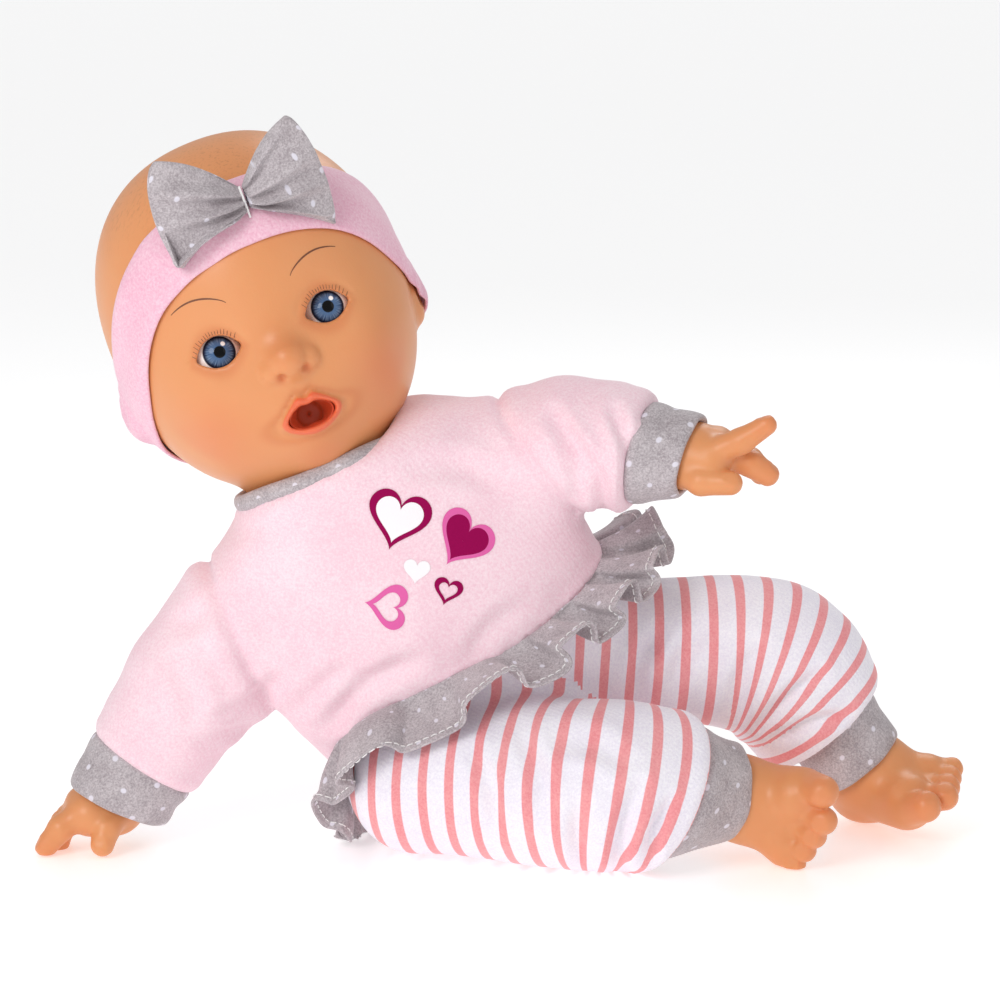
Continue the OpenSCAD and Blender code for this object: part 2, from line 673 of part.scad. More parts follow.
// Foot frame: +Y along the toes, +Z out of the instep, big toe towards -X times side
module foot_shape(side) {
    hull() {
        translate([0, 1, -6]) sphere(12.5, $fn = 16);
        translate([0, -3, -11]) sphere(10.5, $fn = 16);
    }
    hull() {
        translate([0, -3, -11]) sphere(10.5, $fn = 16);
        translate([-side * 8, 20, -13]) sphere(9.5, $fn = 16);
        translate([side * 9, 17, -14]) sphere(8.5, $fn = 16);
        translate([0, 4, -4]) sphere(11.5, $fn = 16);
    }
    blob([-side * 12, 23, -14], 6.4, [-side * 12.5, 32, -13], 5.6);
    for (k = [0:3]) blob([side * (-3.5 + 5.8 * k), 25 - 2 * k, -15], 4.8 - 0.25 * k,
        [side * (-3.5 + 5.8 * k), 32 - 2.8 * k, -15.5], 4.3 - 0.25 * k);
}
module foot(knee, ankle, toes, inner, side) {
    sole_up = side * cross(unit(toes), unit(inner));
    above(0) {
        multmatrix(zy_frame(sole_up, toes, ankle + 4 * unit(ankle - knee))) foot_shape(side);
        stem(knee, ankle, ankle_stem_r, 12);
    }
}

module left_eye() eye(1);
module right_eye() eye(-1);
module right_arm() color(calico) arm(right_shoulder, right_wrist);
module right_sleeve() color(pink) sleeve(right_shoulder, right_wrist);
module right_sleeve_cuff() color(grey) sleeve_cuff(right_shoulder, right_wrist, 16.6);
module right_wrist_tie() end_tie(right_shoulder, right_wrist, wrist_r + 1.2);
module right_hand() color(skin) hand(right_shoulder, right_wrist, right_fingers, right_hand_back, 1, false);
module left_arm() color(calico) arm(left_shoulder, left_wrist);
module left_sleeve() color(pink) sleeve(left_shoulder, left_wrist);
module left_sleeve_cuff() color(grey) sleeve_cuff(left_shoulder, left_wrist, 14.2);
module left_wrist_tie() end_tie(left_shoulder, left_wrist, wrist_r + 1.2);
module left_hand() color(skin) hand(left_shoulder, left_wrist, left_fingers, left_hand_back, -1, true);
module right_thigh() color(calico) thigh(right_hip, right_knee);
module right_legging_thigh() color(stripe) legging_thigh(right_hip, right_knee);
module right_shin() color(calico) shin(right_knee, right_ankle, right_ankle_r);
module right_legging_shin() color(stripe) legging_shin(right_knee, right_ankle, right_ankle_r);
module right_legging_cuff() color(grey) legging_cuff(right_knee, right_ankle, right_ankle_r, 18.5);
module right_ankle_tie() end_tie(right_knee, right_ankle, right_ankle_r + 0.8);
module right_foot() color(skin) foot(right_knee, right_ankle, right_toes, right_inner, 1);
module left_thigh() color(calico) thigh(left_hip, left_knee);
module left_legging_thigh() color(stripe) legging_thigh(left_hip, left_knee);
module left_shin() color(calico) shin(left_knee, left_ankle, left_ankle_r);
module left_legging_shin() color(stripe) legging_shin(left_knee, left_ankle, left_ankle_r);
module left_legging_cuff() color(grey) legging_cuff(left_knee, left_ankle, left_ankle_r, 15);
module left_ankle_tie() end_tie(left_knee, left_ankle, left_ankle_r + 0.8);
module left_foot() color(skin) foot(left_knee, left_ankle, left_toes, left_inner, -1);

head_shell();
left_eye();
right_eye();
mouth_liner();
headband();
headband_bow();
bow_stitch();
cloth_body();
neck_tie();
top_bodice();
neck_binding();
hem_ruffle();
back_closure();
leggings_seat();
waist_elastic();
module_front_housing();
module_rear_housing();
battery_door();
battery_door_screw();
housing_screws();
circuit_board();
speaker();
speaker_magnet();
speaker_wires();
button_cells();
battery_contacts();
tact_switch();
press_button();
button_spring();
slide_switch();
right_arm();
right_sleeve();
right_sleeve_cuff();
right_wrist_tie();
right_hand();
left_arm();
left_sleeve();
left_sleeve_cuff();
left_wrist_tie();
left_hand();
right_thigh();
right_legging_thigh();
right_shin();
right_legging_shin();
right_legging_cuff();
right_ankle_tie();
right_foot();
left_thigh();
left_legging_thigh();
left_shin();
left_legging_shin();
left_legging_cuff();
left_ankle_tie();
left_foot();
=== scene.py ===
import json
import math

import bpy
import numpy as np
import openvdb as vdb
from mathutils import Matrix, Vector
from mathutils.bvhtree import BVHTree


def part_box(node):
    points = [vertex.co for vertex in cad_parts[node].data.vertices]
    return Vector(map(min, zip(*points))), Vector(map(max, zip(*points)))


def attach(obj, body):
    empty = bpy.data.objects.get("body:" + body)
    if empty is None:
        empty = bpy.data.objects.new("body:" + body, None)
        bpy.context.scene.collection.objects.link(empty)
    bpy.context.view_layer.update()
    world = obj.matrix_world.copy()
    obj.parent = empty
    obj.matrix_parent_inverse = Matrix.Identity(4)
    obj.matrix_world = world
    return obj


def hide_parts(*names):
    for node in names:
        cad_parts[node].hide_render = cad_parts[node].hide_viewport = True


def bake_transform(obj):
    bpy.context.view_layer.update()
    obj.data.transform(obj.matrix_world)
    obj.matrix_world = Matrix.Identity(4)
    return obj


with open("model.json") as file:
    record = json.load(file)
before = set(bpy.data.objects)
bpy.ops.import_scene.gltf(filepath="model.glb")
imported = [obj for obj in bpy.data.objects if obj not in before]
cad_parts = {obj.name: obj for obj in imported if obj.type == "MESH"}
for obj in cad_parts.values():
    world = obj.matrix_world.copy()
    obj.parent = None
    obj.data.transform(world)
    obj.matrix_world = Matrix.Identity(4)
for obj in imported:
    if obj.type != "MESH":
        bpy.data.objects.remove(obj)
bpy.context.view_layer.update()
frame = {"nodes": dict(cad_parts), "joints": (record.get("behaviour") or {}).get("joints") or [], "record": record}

# Every shape below is worked out in millimetres and turned into metres when its mesh is made.
MM = 0.001
DETAIL = 1.0


# ---------------------------------------------------------------- the frame
def unit(v):
    v = np.asarray(v, float)
    return v / np.linalg.norm(v)


class Axes:
    """A local frame: its origin, and its three axes in the part's own frame."""

    def __init__(self, at, x, y, z):
        self.at = np.array(at, float)
        self.m = np.array([x, y, z], float)

    def out(self, p):
        return self.at + np.asarray(p, float) @ self.m

    def into(self, p):
        return (np.asarray(p, float) - self.at) @ self.m.T


def z_axes(at, along):
    """Local z along one direction, y as near as it can be to the part's own y."""
    z = unit(along)
    x = unit(np.cross([0, 1, 0], z))
    return Axes(at, x, np.cross(z, x), z)


def zy_axes(at, z_near, y_near):
    z = unit(z_near)
    x = unit(np.cross(y_near, z))
    return Axes(at, x, np.cross(z, x), z)


JOINTS = {j["name"]: j for j in frame["joints"]}


def joint_at(name):
    return np.array(JOINTS[name]["pos_m"]) / MM


def joint_axis(name):
    return unit(JOINTS[name]["axis"])


def middle(node):
    low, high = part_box(node)
    return (np.array(low) + np.array(high)) / 2 / MM


neck = joint_at("neck_turn")
head_z = joint_axis("neck_turn")
head_x = middle("left_eye") - middle("right_eye")
head_x = unit(head_x - (head_x @ head_z) * head_z)
HEAD = Axes(neck, head_x, np.cross(head_z, head_x), head_z)

TORSO_LENGTH = 116.3
torso_side = joint_axis("power_switch_slide")
torso_back = joint_axis("press_button_slide")
torso_up = unit(np.cross(torso_side, torso_back))
TORSO = Axes(neck - TORSO_LENGTH * torso_up, torso_side, torso_back, torso_up)

R_SHOULDER, R_WRIST = joint_at("right_shoulder_lift"), joint_at("right_wrist_swivel")
L_SHOULDER, L_WRIST = joint_at("left_shoulder_lift"), joint_at("left_wrist_swivel")
R_HIP, R_KNEE, R_ANKLE = (joint_at("right_" + n) for n in ("hip_swing", "knee_bend", "ankle_swivel"))
L_HIP, L_KNEE, L_ANKLE = (joint_at("left_" + n) for n in ("hip_swing", "knee_bend", "ankle_swivel"))


# ---------------------------------------------------------------- solids from distance fields
def join(a, b, k):
    """Smooth union of two distance fields, with a fillet of about k."""
    h = np.maximum(k - np.abs(a - b), 0) / k
    return np.minimum(a, b) - h * h * k / 4


def cut(a, b, k):
    """Solid a without solid b."""
    return -join(-a, b, k)


def ball(p, centre, r):
    return np.linalg.norm(p - np.array(centre), axis=-1) - r


def egg(p, centre, radii):
    q = np.linalg.norm((p - np.array(centre)) / np.array(radii), axis=-1)
    return (q - 1) * min(radii)


def rod(p, a, b, ra, rb):
    a, b = np.array(a, float), np.array(b, float)
    d = b - a
    t = np.clip((p - a) @ d / (d @ d), 0, 1)
    return np.linalg.norm(p - a - t[..., None] * d, axis=-1) - (ra + (rb - ra) * t)


def path_rod(p, path, radii):
    """Distance to a round tube through a path's points."""
    best = None
    for a, b, ra, rb in zip(path[:-1], path[1:], radii[:-1], radii[1:]):
        d = rod(p, a, b, ra, rb)
        best = d if best is None else join(best, d, 4)
    return best


def smooth_step(low, high, x):
    t = np.clip((x - low) / (high - low), 0, 1)
    return t * t * (3 - 2 * t)


def glow(distance, width):
    return np.exp(-((distance / width) ** 2))


def relax(points, quads, rounds):
    a = quads.ravel()
    b = np.roll(quads, -1, axis=1).ravel()
    n = len(points)
    count = np.bincount(a, minlength=n) + np.bincount(b, minlength=n)
    for _ in range(rounds):
        total = np.stack([
            np.bincount(a, points[b, k], n) + np.bincount(b, points[a, k], n) for k in range(3)
        ], 1)
        points = points / 2 + total / count[:, None] / 2
    return points


def field_surface(field, low, high, step, rounds=2):
    """Quads over the zero surface of a field that is negative inside."""
    low, high = np.array(low, float), np.array(high, float)
    xs, ys, zs = (np.arange(a, b + step, step) for a, b in zip(low, high))
    values = np.empty((len(xs), len(ys), len(zs)), np.float32)
    slab = 12
    for k in range(0, len(xs), slab):
        p = np.stack(np.meshgrid(xs[k:k + slab], ys, zs, indexing="ij"), -1)
        values[k:k + slab] = field(p)
    grid = vdb.FloatGrid(3 * step)
    grid.copyFromArray(np.clip(values, -3 * step, 3 * step))
    points, quads = grid.convertToQuads(0.0)
    points = low + np.array(points, float) * step
    quads = np.array(quads, int)
    a, b, c, d = (points[quads[:, k]] for k in range(4))
    if np.einsum("ij,ij->i", a + c, np.cross(c - a, d - b)).sum() < 0:
        quads = quads[:, ::-1]
    return relax(points, quads, rounds), quads


# ---------------------------------------------------------------- meshes
def vertex_normals(points, quads):
    a, b, c, d = (points[quads[:, k]] for k in range(4))
    face = np.cross(c - a, d - b)
    total = np.zeros_like(points)
    for k in range(4):
        for j in range(3):
            total[:, j] += np.bincount(quads[:, k], face[:, j], len(points))
    return total / np.maximum(np.linalg.norm(total, axis=1), 1e-9)[:, None]


def quad_object(name, points, quads, uv=None, normals=None, attributes=None):
    """A mesh object from points in mm and quads. uv has a pair of numbers for each quad corner."""
    mesh = bpy.data.meshes.new(name)
    quads = np.asarray(quads, np.int32)
    mesh.vertices.add(len(points))
    mesh.vertices.foreach_set("co", (np.asarray(points) * MM).astype(np.float32).ravel())
    mesh.loops.add(quads.size)
    mesh.loops.foreach_set("vertex_index", quads.ravel())
    mesh.polygons.add(len(quads))
    mesh.polygons.foreach_set("loop_start", np.arange(0, quads.size, 4, dtype=np.int32))
    mesh.polygons.foreach_set("use_smooth", np.ones(len(quads), bool))
    if uv is not None:
        layer = mesh.uv_layers.new(name="cloth")
        layer.data.foreach_set("uv", np.asarray(uv, np.float32).ravel())
    mesh.update(calc_edges=True)
    for key, values in (attributes or {}).items():
        layer = mesh.attributes.new(key, "FLOAT", "POINT")
        layer.data.foreach_set("value", np.asarray(values, np.float32))
    if normals is not None:
        mesh.normals_split_custom_set_from_vertices(normals.tolist())
    piece = bpy.data.objects.new(name, mesh)
    bpy.context.scene.collection.objects.link(piece)
    return piece


def used_only(points, quads, *others):
    """Drops the points that no quad uses."""
    keep, inverse = np.unique(quads, return_inverse=True)
    return (points[keep], inverse.reshape(quads.shape)) + tuple(o[keep] for o in others)


def grid_quads(m, n, wrap):
    """Quads of an m by n grid of points, closed along n where wrap is true."""
    i, j = np.meshgrid(np.arange(m - 1), np.arange(n if wrap else n - 1), indexing="ij")
    k = (j + 1) % n
    return np.stack([i * n + j, i * n + k, (i + 1) * n + k, (i + 1) * n + j], -1).reshape(-1, 4)


def grid_uv(uv, wrap_step):
    """Corner coordinates of a grid; wrap_step is added where the grid closes, or None if it is open."""
    m, n = uv.shape[:2]
    if wrap_step is not None:
        uv = np.concatenate([uv, uv[:, :1] + np.array(wrap_step)], 1)
        n += 1
    i, j = np.meshgrid(np.arange(m - 1), np.arange(n - 1), indexing="ij")
    corners = [uv[i, j], uv[i, j + 1], uv[i + 1, j + 1], uv[i + 1, j]]
    return np.stack(corners, 2).reshape(-1, 2)


def grid_object(name, grid, uv, wrap_step=None, thick=0.0):
    """A cloth grid of points in mm, made into a thin closed solid where thick is given."""
    wrap = wrap_step is not None
    m, n = grid.shape[:2]
    piece = quad_object(name, grid.reshape(-1, 3), grid_quads(m, n, wrap), grid_uv(uv, wrap_step))
    if thick:
        solid = piece.modifiers.new("thickness", "SOLIDIFY")
        solid.thickness = thick * MM
        solid.offset = 0
        solid.use_even_offset = False
        apply_modifiers(piece)
    return piece


def apply_modifiers(piece):
    bpy.context.view_layer.update()
    evaluated = piece.evaluated_get(bpy.context.evaluated_depsgraph_get())
    mesh = bpy.data.meshes.new_from_object(evaluated)
    piece.modifiers.clear()
    old = piece.data
    piece.data = mesh
    bpy.data.meshes.remove(old)


def subdivide(piece):
    piece.modifiers.new("smooth", "SUBSURF").levels = 1
    apply_modifiers(piece)


def finish_piece(piece, slot, body=None, nodes=(), blend=None, material=None):
    """Gives a piece its material, the body it rides on, and what it replaces. Where a blend pair is given, only
    its placement is baked into its mesh; the pair and its range are not used.
    """
    piece.data.materials.clear()
    piece.data.materials.append(material or LOOKS[slot])
    if body:
        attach(piece, body)
    if blend:
        first, second, start, end = blend
        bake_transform(piece)
    if nodes:
        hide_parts(*nodes)


# ---------------------------------------------------------------- materials
def srgb(code):
    parts = [int(code[k:k + 2], 16) / 255 for k in (0, 2, 4)]
    return tuple(c / 12.92 if c <= 0.04045 else ((c + 0.055) / 1.055) ** 2.4 for c in parts) + (1.0,)


class Look:
    """A material whose nodes are wired by short calls."""

    def __init__(self, name, roughness=0.5, **sockets):
        self.material = bpy.data.materials.new(name)
        self.material.use_nodes = True
        self.tree = self.material.node_tree
        self.shader = self.tree.nodes["Principled BSDF"]
        self.shader.inputs["Roughness"].default_value = roughness
        for key, value in sockets.items():
            self.shader.inputs[key.replace("_", " ")].default_value = value

    def node(self, kind, **settings):
        n = self.tree.nodes.new(kind)
        for key, value in settings.items():
            setattr(n, key, value)
        return n

    def feed(self, socket, value):
        if isinstance(value, bpy.types.NodeSocket):
            self.tree.links.new(value, socket)
        else:
            socket.default_value = value

    def place(self):
        """Where a point is on the object, in metres."""
        return self.node("ShaderNodeTexCoord").outputs["Object"]

    def cloth(self):
        """The woven coordinates of a cut piece, in millimetres."""
        return self.node("ShaderNodeUVMap", uv_map="cloth").outputs["UV"]

    def value(self, name):
        return self.node("ShaderNodeAttribute", attribute_name=name).outputs["Fac"]

    def noise(self, where, scale, detail=2.0, rough=0.5):
        n = self.node("ShaderNodeTexNoise")
        self.feed(n.inputs["Vector"], where)
        n.inputs["Scale"].default_value = scale
        n.inputs["Detail"].default_value = detail
        n.inputs["Roughness"].default_value = rough
        return n.outputs["Fac"]

    def math(self, operation, a, b=0.0):
        n = self.node("ShaderNodeMath", operation=operation)
        self.feed(n.inputs[0], a)
        self.feed(n.inputs[1], b)
        return n.outputs[0]

    def vector(self, operation, a, b=None, scale=None):
        n = self.node("ShaderNodeVectorMath", operation=operation)
        self.feed(n.inputs[0], a)
        if b is not None:
            self.feed(n.inputs[1], b)
        if scale is not None:
            n.inputs["Scale"].default_value = scale
        return n.outputs["Value"] if operation in ("LENGTH", "DISTANCE") else n.outputs["Vector"]

    def ramp(self, value, low, high):
        """0 below low and 1 above high, or the other way round where low is above high."""
        n = self.node("ShaderNodeMapRange", interpolation_type="SMOOTHSTEP")
        self.feed(n.inputs["Value"], value)
        flip = low > high
        n.inputs["From Min"].default_value = min(low, high)
        n.inputs["From Max"].default_value = max(low, high)
        n.inputs["To Min"].default_value = 1.0 if flip else 0.0
        n.inputs["To Max"].default_value = 0.0 if flip else 1.0
        return n.outputs["Result"]

    def mix(self, factor, a, b):
        n = self.node("ShaderNodeMix", data_type="RGBA")
        # The colour sockets of this node, whose names repeat those of its other kinds
        self.feed(n.inputs[0], factor)
        self.feed(n.inputs[6], a)
        self.feed(n.inputs[7], b)
        return n.outputs[2]

    def colour(self, value):
        self.feed(self.shader.inputs["Base Color"], value)

    def bump(self, height, distance):
        n = self.node("ShaderNodeBump")
        n.inputs["Strength"].default_value = 1.0
        n.inputs["Distance"].default_value = distance
        self.feed(n.inputs["Height"], height)
        self.feed(self.shader.inputs["Normal"], n.outputs["Normal"])


def plain_look(name, code, roughness=0.5, shade=0.12, grain=60.0, relief=0.00003, **sockets):
    """A moulded, pressed or sewn material with a faint unevenness."""
    look = Look(name, roughness, **sockets)
    colour = srgb(code)
    dark = tuple(c * (1 - shade) for c in colour[:3]) + (1.0,)
    speck = look.noise(look.place(), grain * 10)
    look.colour(look.mix(speck, dark, colour))
    look.bump(speck, relief)
    return look.material


def skin_look():
    look = Look("vinyl_skin", 0.40, Subsurface_Weight=0.18, Subsurface_Scale=0.006, Coat_Weight=0.06,
                Coat_Roughness=0.3, IOR=1.45)
    look.shader.inputs["Subsurface Radius"].default_value = (1.0, 0.45, 0.25)
    where = look.place()
    cloud = look.noise(where, 30, 3)
    base = look.mix(cloud, srgb("DF945F"), srgb("E59D68"))
    # Darker orange: a real warm tint on the nose and the finger and toe tips, and painted shade in the nostrils,
    # along the lips' outer edge and round the eyelids.
    base = look.mix(look.value("warm_tint_and_shade"), base, srgb("CC6F3C"))
    base = look.mix(look.value("blush"), base, srgb("E07A52"))
    # Darker strands on the crown: painted shade standing in for the moulded hair grooves.
    strands = look.noise(look.vector("MULTIPLY", where, (1100, 1100, 45)), 1.0, 1)
    hair_groove_shade = look.math("MULTIPLY", look.value("hair_groove_shade"), look.ramp(strands, 0.5, 0.8))
    base = look.mix(hair_groove_shade, base, srgb("C4824F"))
    base = look.mix(look.value("lip"), base, srgb("E8704A"))
    look.colour(base)
    look.bump(look.noise(where, 900, 3), 0.00004)
    return look.material


def eye_look():
    look = Look("eye_plastic", 0.06, Specular_IOR_Level=0.22)
    here = look.cloth()
    r = look.vector("LENGTH", here)
    spokes = look.noise(look.vector("NORMALIZE", here), 9, 3, 0.7)
    iris = look.mix(look.ramp(spokes, 0.35, 0.65), srgb("2A446A"), srgb("7893B4"))
    iris = look.mix(look.ramp(r, 2.2, 4.6), srgb("4A678E"), iris)
    iris = look.mix(look.ramp(r, 4.0, 5.3), iris, srgb("0E1730"))
    colour = look.mix(look.ramp(r, 5.45, 5.85), iris, srgb("FFFEFE"))
    colour = look.mix(look.ramp(r, 2.15, 1.85), colour, srgb("030305"))
    # A small white spot up and right of the pupil: a painted highlight standing for the lamp's reflection.
    painted_catchlight = look.vector("DISTANCE", here, (2.1, 2.2, 0.0))
    colour = look.mix(look.ramp(painted_catchlight, 0.95, 0.6), colour, (1, 1, 1, 1))
    look.colour(colour)
    return look.material


def weave(look, where, size, colour_a, colour_b, mottle):
    """Heathered knit: speckled colour and a fine knitted relief. size is the stitch, in metres."""
    fine = look.noise(where, 1 / size, 3, 0.7)
    broad = look.noise(where, mottle, 3, 0.6)
    speckle = look.math("ADD", look.math("MULTIPLY", fine, 0.7), look.math("MULTIPLY", broad, 0.3))
    return look.mix(look.ramp(speckle, 0.3, 0.7), colour_a, colour_b)


def knit_bump(look, where, size, depth):
    wave = look.node("ShaderNodeTexWave", wave_type="BANDS", bands_direction="DIAGONAL")
    look.feed(wave.inputs["Vector"], where)
    wave.inputs["Scale"].default_value = 0.16 / size
    wave.inputs["Distortion"].default_value = 3.0
    fluff = look.noise(where, 0.6 / size, 4, 0.7)
    look.bump(look.math("ADD", look.math("MULTIPLY", wave.outputs["Fac"], 0.4), fluff), depth)


def jersey_look(name, colour_a, colour_b):
    look = Look(name, 0.85, Sheen_Weight=0.35, Sheen_Roughness=0.4)
    where = look.place()
    look.colour(weave(look, where, 0.0009, srgb(colour_a), srgb(colour_b), 40))
    knit_bump(look, where, 0.0009, 0.00012)
    return look.material


def dots(look, here, pitch, r):
    """1 inside small round dots on a staggered grid."""
    result = None
    for shift in ((0.0, 0.0), (0.5, 0.5)):
        cell = look.vector("SCALE", here, scale=1 / pitch)
        cell = look.vector("ADD", cell, shift + (0.0,))
        cell = look.vector("FRACTION", cell)
        cell = look.vector("SUBTRACT", cell, (0.5, 0.5, 0.0))
        distance = look.vector("LENGTH", cell)
        inside = look.ramp(distance, (r + 0.25) / pitch, (r - 0.25) / pitch)
        result = inside if result is None else look.math("MAXIMUM", result, inside)
    return result


# Distance between dots of one row, and the radius of a dot, in millimetres of cloth
DOT_PITCH = 15.5
DOT_RADIUS = 0.95


def dotted_look(name, colour_a, colour_b):
    look = Look(name, 0.88, Sheen_Weight=0.3, Sheen_Roughness=0.4)
    where = look.place()
    base = weave(look, where, 0.0007, srgb(colour_a), srgb(colour_b), 90)
    look.colour(look.mix(dots(look, look.cloth(), DOT_PITCH, DOT_RADIUS), base, srgb("DEDAE4")))
    knit_bump(look, where, 0.0008, 0.00012)
    return look.material


def striped_look():
    look = Look("striped_jersey", 0.85, Sheen_Weight=0.3, Sheen_Roughness=0.4)
    where = look.place()
    white = weave(look, where, 0.0008, srgb("E9E3F0"), srgb("FBF8FD"), 60)
    salmon = weave(look, where, 0.0008, srgb("EA8A90"), srgb("F6ABAC"), 60)
    cell = look.math("FRACT", look.math("DIVIDE", look.value("along"), 9.7))
    off = look.math("ABSOLUTE", look.math("SUBTRACT", cell, 0.5))
    look.colour(look.mix(look.ramp(off, 0.19, 0.155), white, salmon))
    knit_bump(look, where, 0.0008, 0.0001)
    return look.material


LOOKS = {
    "vinyl_skin": skin_look(),
    "eye_plastic": eye_look(),
    "pink_jersey": jersey_look("pink_jersey", "F2C8D5", "FBE3EA"),
    "grey_dot_jersey": dotted_look("grey_dot_jersey", "958B8F", "CFC7CA"),
    "striped_jersey": striped_look(),
    # Its faint orange emission is painted light: the mouth pocket glows to lift the shade deep inside it.
    "lip_vinyl": plain_look("lip_vinyl", "DE5A34", 0.35, 0.2, 40, Emission_Strength=0.07,
                             Emission_Color=(0.75, 0.16, 0.06, 1.0)),
    "calico": plain_look("calico", "EFE9DF", 0.9, 0.1, 120, 0.0001, Sheen_Weight=0.3),
    "white_trim": plain_look("white_trim", "F3F1F0", 0.8, 0.08, 120, 0.0001, Sheen_Weight=0.2),
    "nylon_tie": plain_look("nylon_tie", "E6E4DE", 0.35, 0.06),
    "white_abs": plain_look("white_abs", "E9E8E3", 0.38, 0.05),
    "pink_abs": plain_look("pink_abs", "F4A7C0", 0.35, 0.06),
    "black_plastic": plain_look("black_plastic", "1A1A1C", 0.45, 0.2),
    "board_green": plain_look("board_green", "1F6B3C", 0.4, 0.25, 30),
    "steel": plain_look("steel", "B9BCC1", 0.28, 0.1, Metallic=1.0),
    "gold_contact": plain_look("gold_contact", "D9B25A", 0.25, 0.1, Metallic=1.0),
    "wire_red": plain_look("wire_red", "B52A22", 0.4, 0.1),
}
BAND_JERSEY = jersey_look("headband_jersey", "E9ABC2", "F5CEDB")
BROWN_PAINT = plain_look("brow_paint", "7A4A30", 0.5, 0.2)
HEART_LOOKS = {
    "magenta": plain_look("print_magenta", "98004F", 0.7, 0.08, 200, 0.00008, Specular_IOR_Level=0.1),
    "pink": plain_look("print_pink", "E668AC", 0.7, 0.08, 200, 0.00008, Specular_IOR_Level=0.1),
    "white": plain_look("print_white", "FBF7FA", 0.55, 0.04, 200, 0.00008),
}


# ---------------------------------------------------------------- head
HEAD_MID = np.array([0.0, 0.0, 62.0])
HEAD_HALF = (53.5, 56.0, 63.0)
FACE_X = 1.0
EYE_R = 9.0
EYE_X, EYE_Y, EYE_Z = 20.0, -39.5, 53.0
MOUTH_X, MOUTH_Z = 1.5, 21.8
# Azimuth, elevation, height and width of the swellings of the head, in degrees and millimetres
HEAD_BUMPS = [
    (-57, -22, 2.6, 17), (-123, -22, 2.6, 17), (-90, -62, 3.0, 12), (-90, -43, 4.2, 13),
    (-90, 32, 2, 30), (90, 12, 3, 40),
]


def bearing(az, el):
    """Unit directions from azimuths and elevations in degrees."""
    az, el = np.radians(az), np.radians(el)
    return np.stack([np.cos(el) * np.cos(az), np.cos(el) * np.sin(az), np.sin(el)], -1)


def mouth_opening(x, z):
    """Roughly the distance outside the open mouth's outline, seen from the front."""
    mx = x - MOUTH_X
    mz = z - MOUTH_Z + 1.0 * np.exp(-(mx / 2.2) ** 2) * (z > MOUTH_Z)
    high = np.where(mz > 0, 4.9 - 2.2 * np.clip(np.abs(mx) / 8.6 - 0.35, 0, 1), 3.9)
    e = np.sqrt((mx / 8.6) ** 2 + (mz / high) ** 2 + 1e-9)
    return (e - 1) * 4.9


def lip_band(x, z):
    """How far past the opening the lips reach: full in the middle, thin at the corners."""
    middle = np.exp(-((x - MOUTH_X) / 7.5) ** 2)
    dip = 0.7 * np.exp(-((x - MOUTH_X) / 1.6) ** 2) * (z > MOUTH_Z)
    return 1.0 + 2.1 * middle - dip


def eye_opening(dx, dz):
    """Roughly the distance outside the eyelids' almond outline."""
    top = 6.0 * (1 - np.abs(dx / 8.3) ** 2.3)
    bottom = -4.7 * (1 - (dx / 8.3) ** 2)
    return np.maximum(dz - top, bottom - dz) * 0.85


def head_field(p):
    x, y, z = p[..., 0], p[..., 1], p[..., 2]
    q = p - HEAD_MID
    r = np.maximum(np.linalg.norm(q, axis=-1), 1e-6)
    d = q / r[..., None]
    round_part = ((d[..., 0] / HEAD_HALF[0]) ** 2 + (d[..., 1] / HEAD_HALF[1]) ** 2) ** 1.125
    radius = (round_part + np.abs(d[..., 2] / HEAD_HALF[2]) ** 2.25) ** (-1 / 2.25)
    for az, el, height, width in HEAD_BUMPS:
        radius = radius + height * np.exp(-2 * (1 - d @ bearing(az, el)) / math.radians(width) ** 2)
    front = y < -20
    reach = lip_band(x, z)
    lips = (0.7 + 0.75 * reach) * glow(mouth_opening(x, z) - 0.5 * reach, 0.55 * reach + 0.25) * front
    lips = lips - 0.8 * glow(mouth_opening(x, z) - reach - 1.2, 1.1) * front
    hollow = 0
    for side in (-1, 1):
        hollow = hollow + 2.4 * front * np.exp(-((x - side * 19) ** 2 + (z - 53) ** 2) / 130)
    f = r - radius - lips + hollow
    # Eyelids drawn over the eyeballs, with a fold above each upper lid
    for side in (-1, 1):
        f = join(f, ball(p, (side * EYE_X, EYE_Y, EYE_Z), EYE_R + 1.5), 4)
        arc = np.sqrt(((x - side * EYE_X) / 10.3) ** 2 + ((z - EYE_Z) / 8.9) ** 2) - 1
        f = f + 0.45 * glow(arc * 9, 0.9) * front * (z > EYE_Z + 1.5)
    nose = rod(p, (FACE_X, -44.6, 55), (FACE_X, -54.6, 42.6), 2.6, 6.7)
    f = join(f, nose, 6)
    for side in (-1, 1):
        f = join(f, ball(p, (FACE_X + side * 6.4, -52.8, 40.6), 4.3), 1.6)
    for side in (-1, 1):
        ear = egg(p, (side * 51.2, 4, 46), (5.2, 7.5, 11.5))
        ear = cut(ear, egg(p, (side * 56.5, 2, 47), (3.6, 4.2, 7.5)), 1.5)
        f = join(f, ear, 3)
    across = np.hypot(x, y)
    groove = 3.3 * (smooth_step(-16, -15, z) - smooth_step(-9.5, -8.5, z))
    neck_part = np.maximum(across - 27 + groove, np.maximum(-19 - z, z - 20))
    f = join(f, neck_part, 7)
    for side in (-1, 1):
        nostril = rod(p, (FACE_X + side * 4.4, -60, 34.6), (FACE_X + side * 4.2, -56.4, 37.8), 1.5, 1.0)
        f = cut(f, nostril, 1.8)
        lids = eye_opening(x - side * 19.9 - 0.4, z - EYE_Z - 0.3)
        f = cut(f, np.maximum(lids, y + 42), 0.9)
        f = np.maximum(f, -ball(p, (side * EYE_X, EYE_Y, EYE_Z), EYE_R + 0.15))
    f = cut(f, np.maximum(mouth_opening(x, z), y + 27), 1.2)
    return f


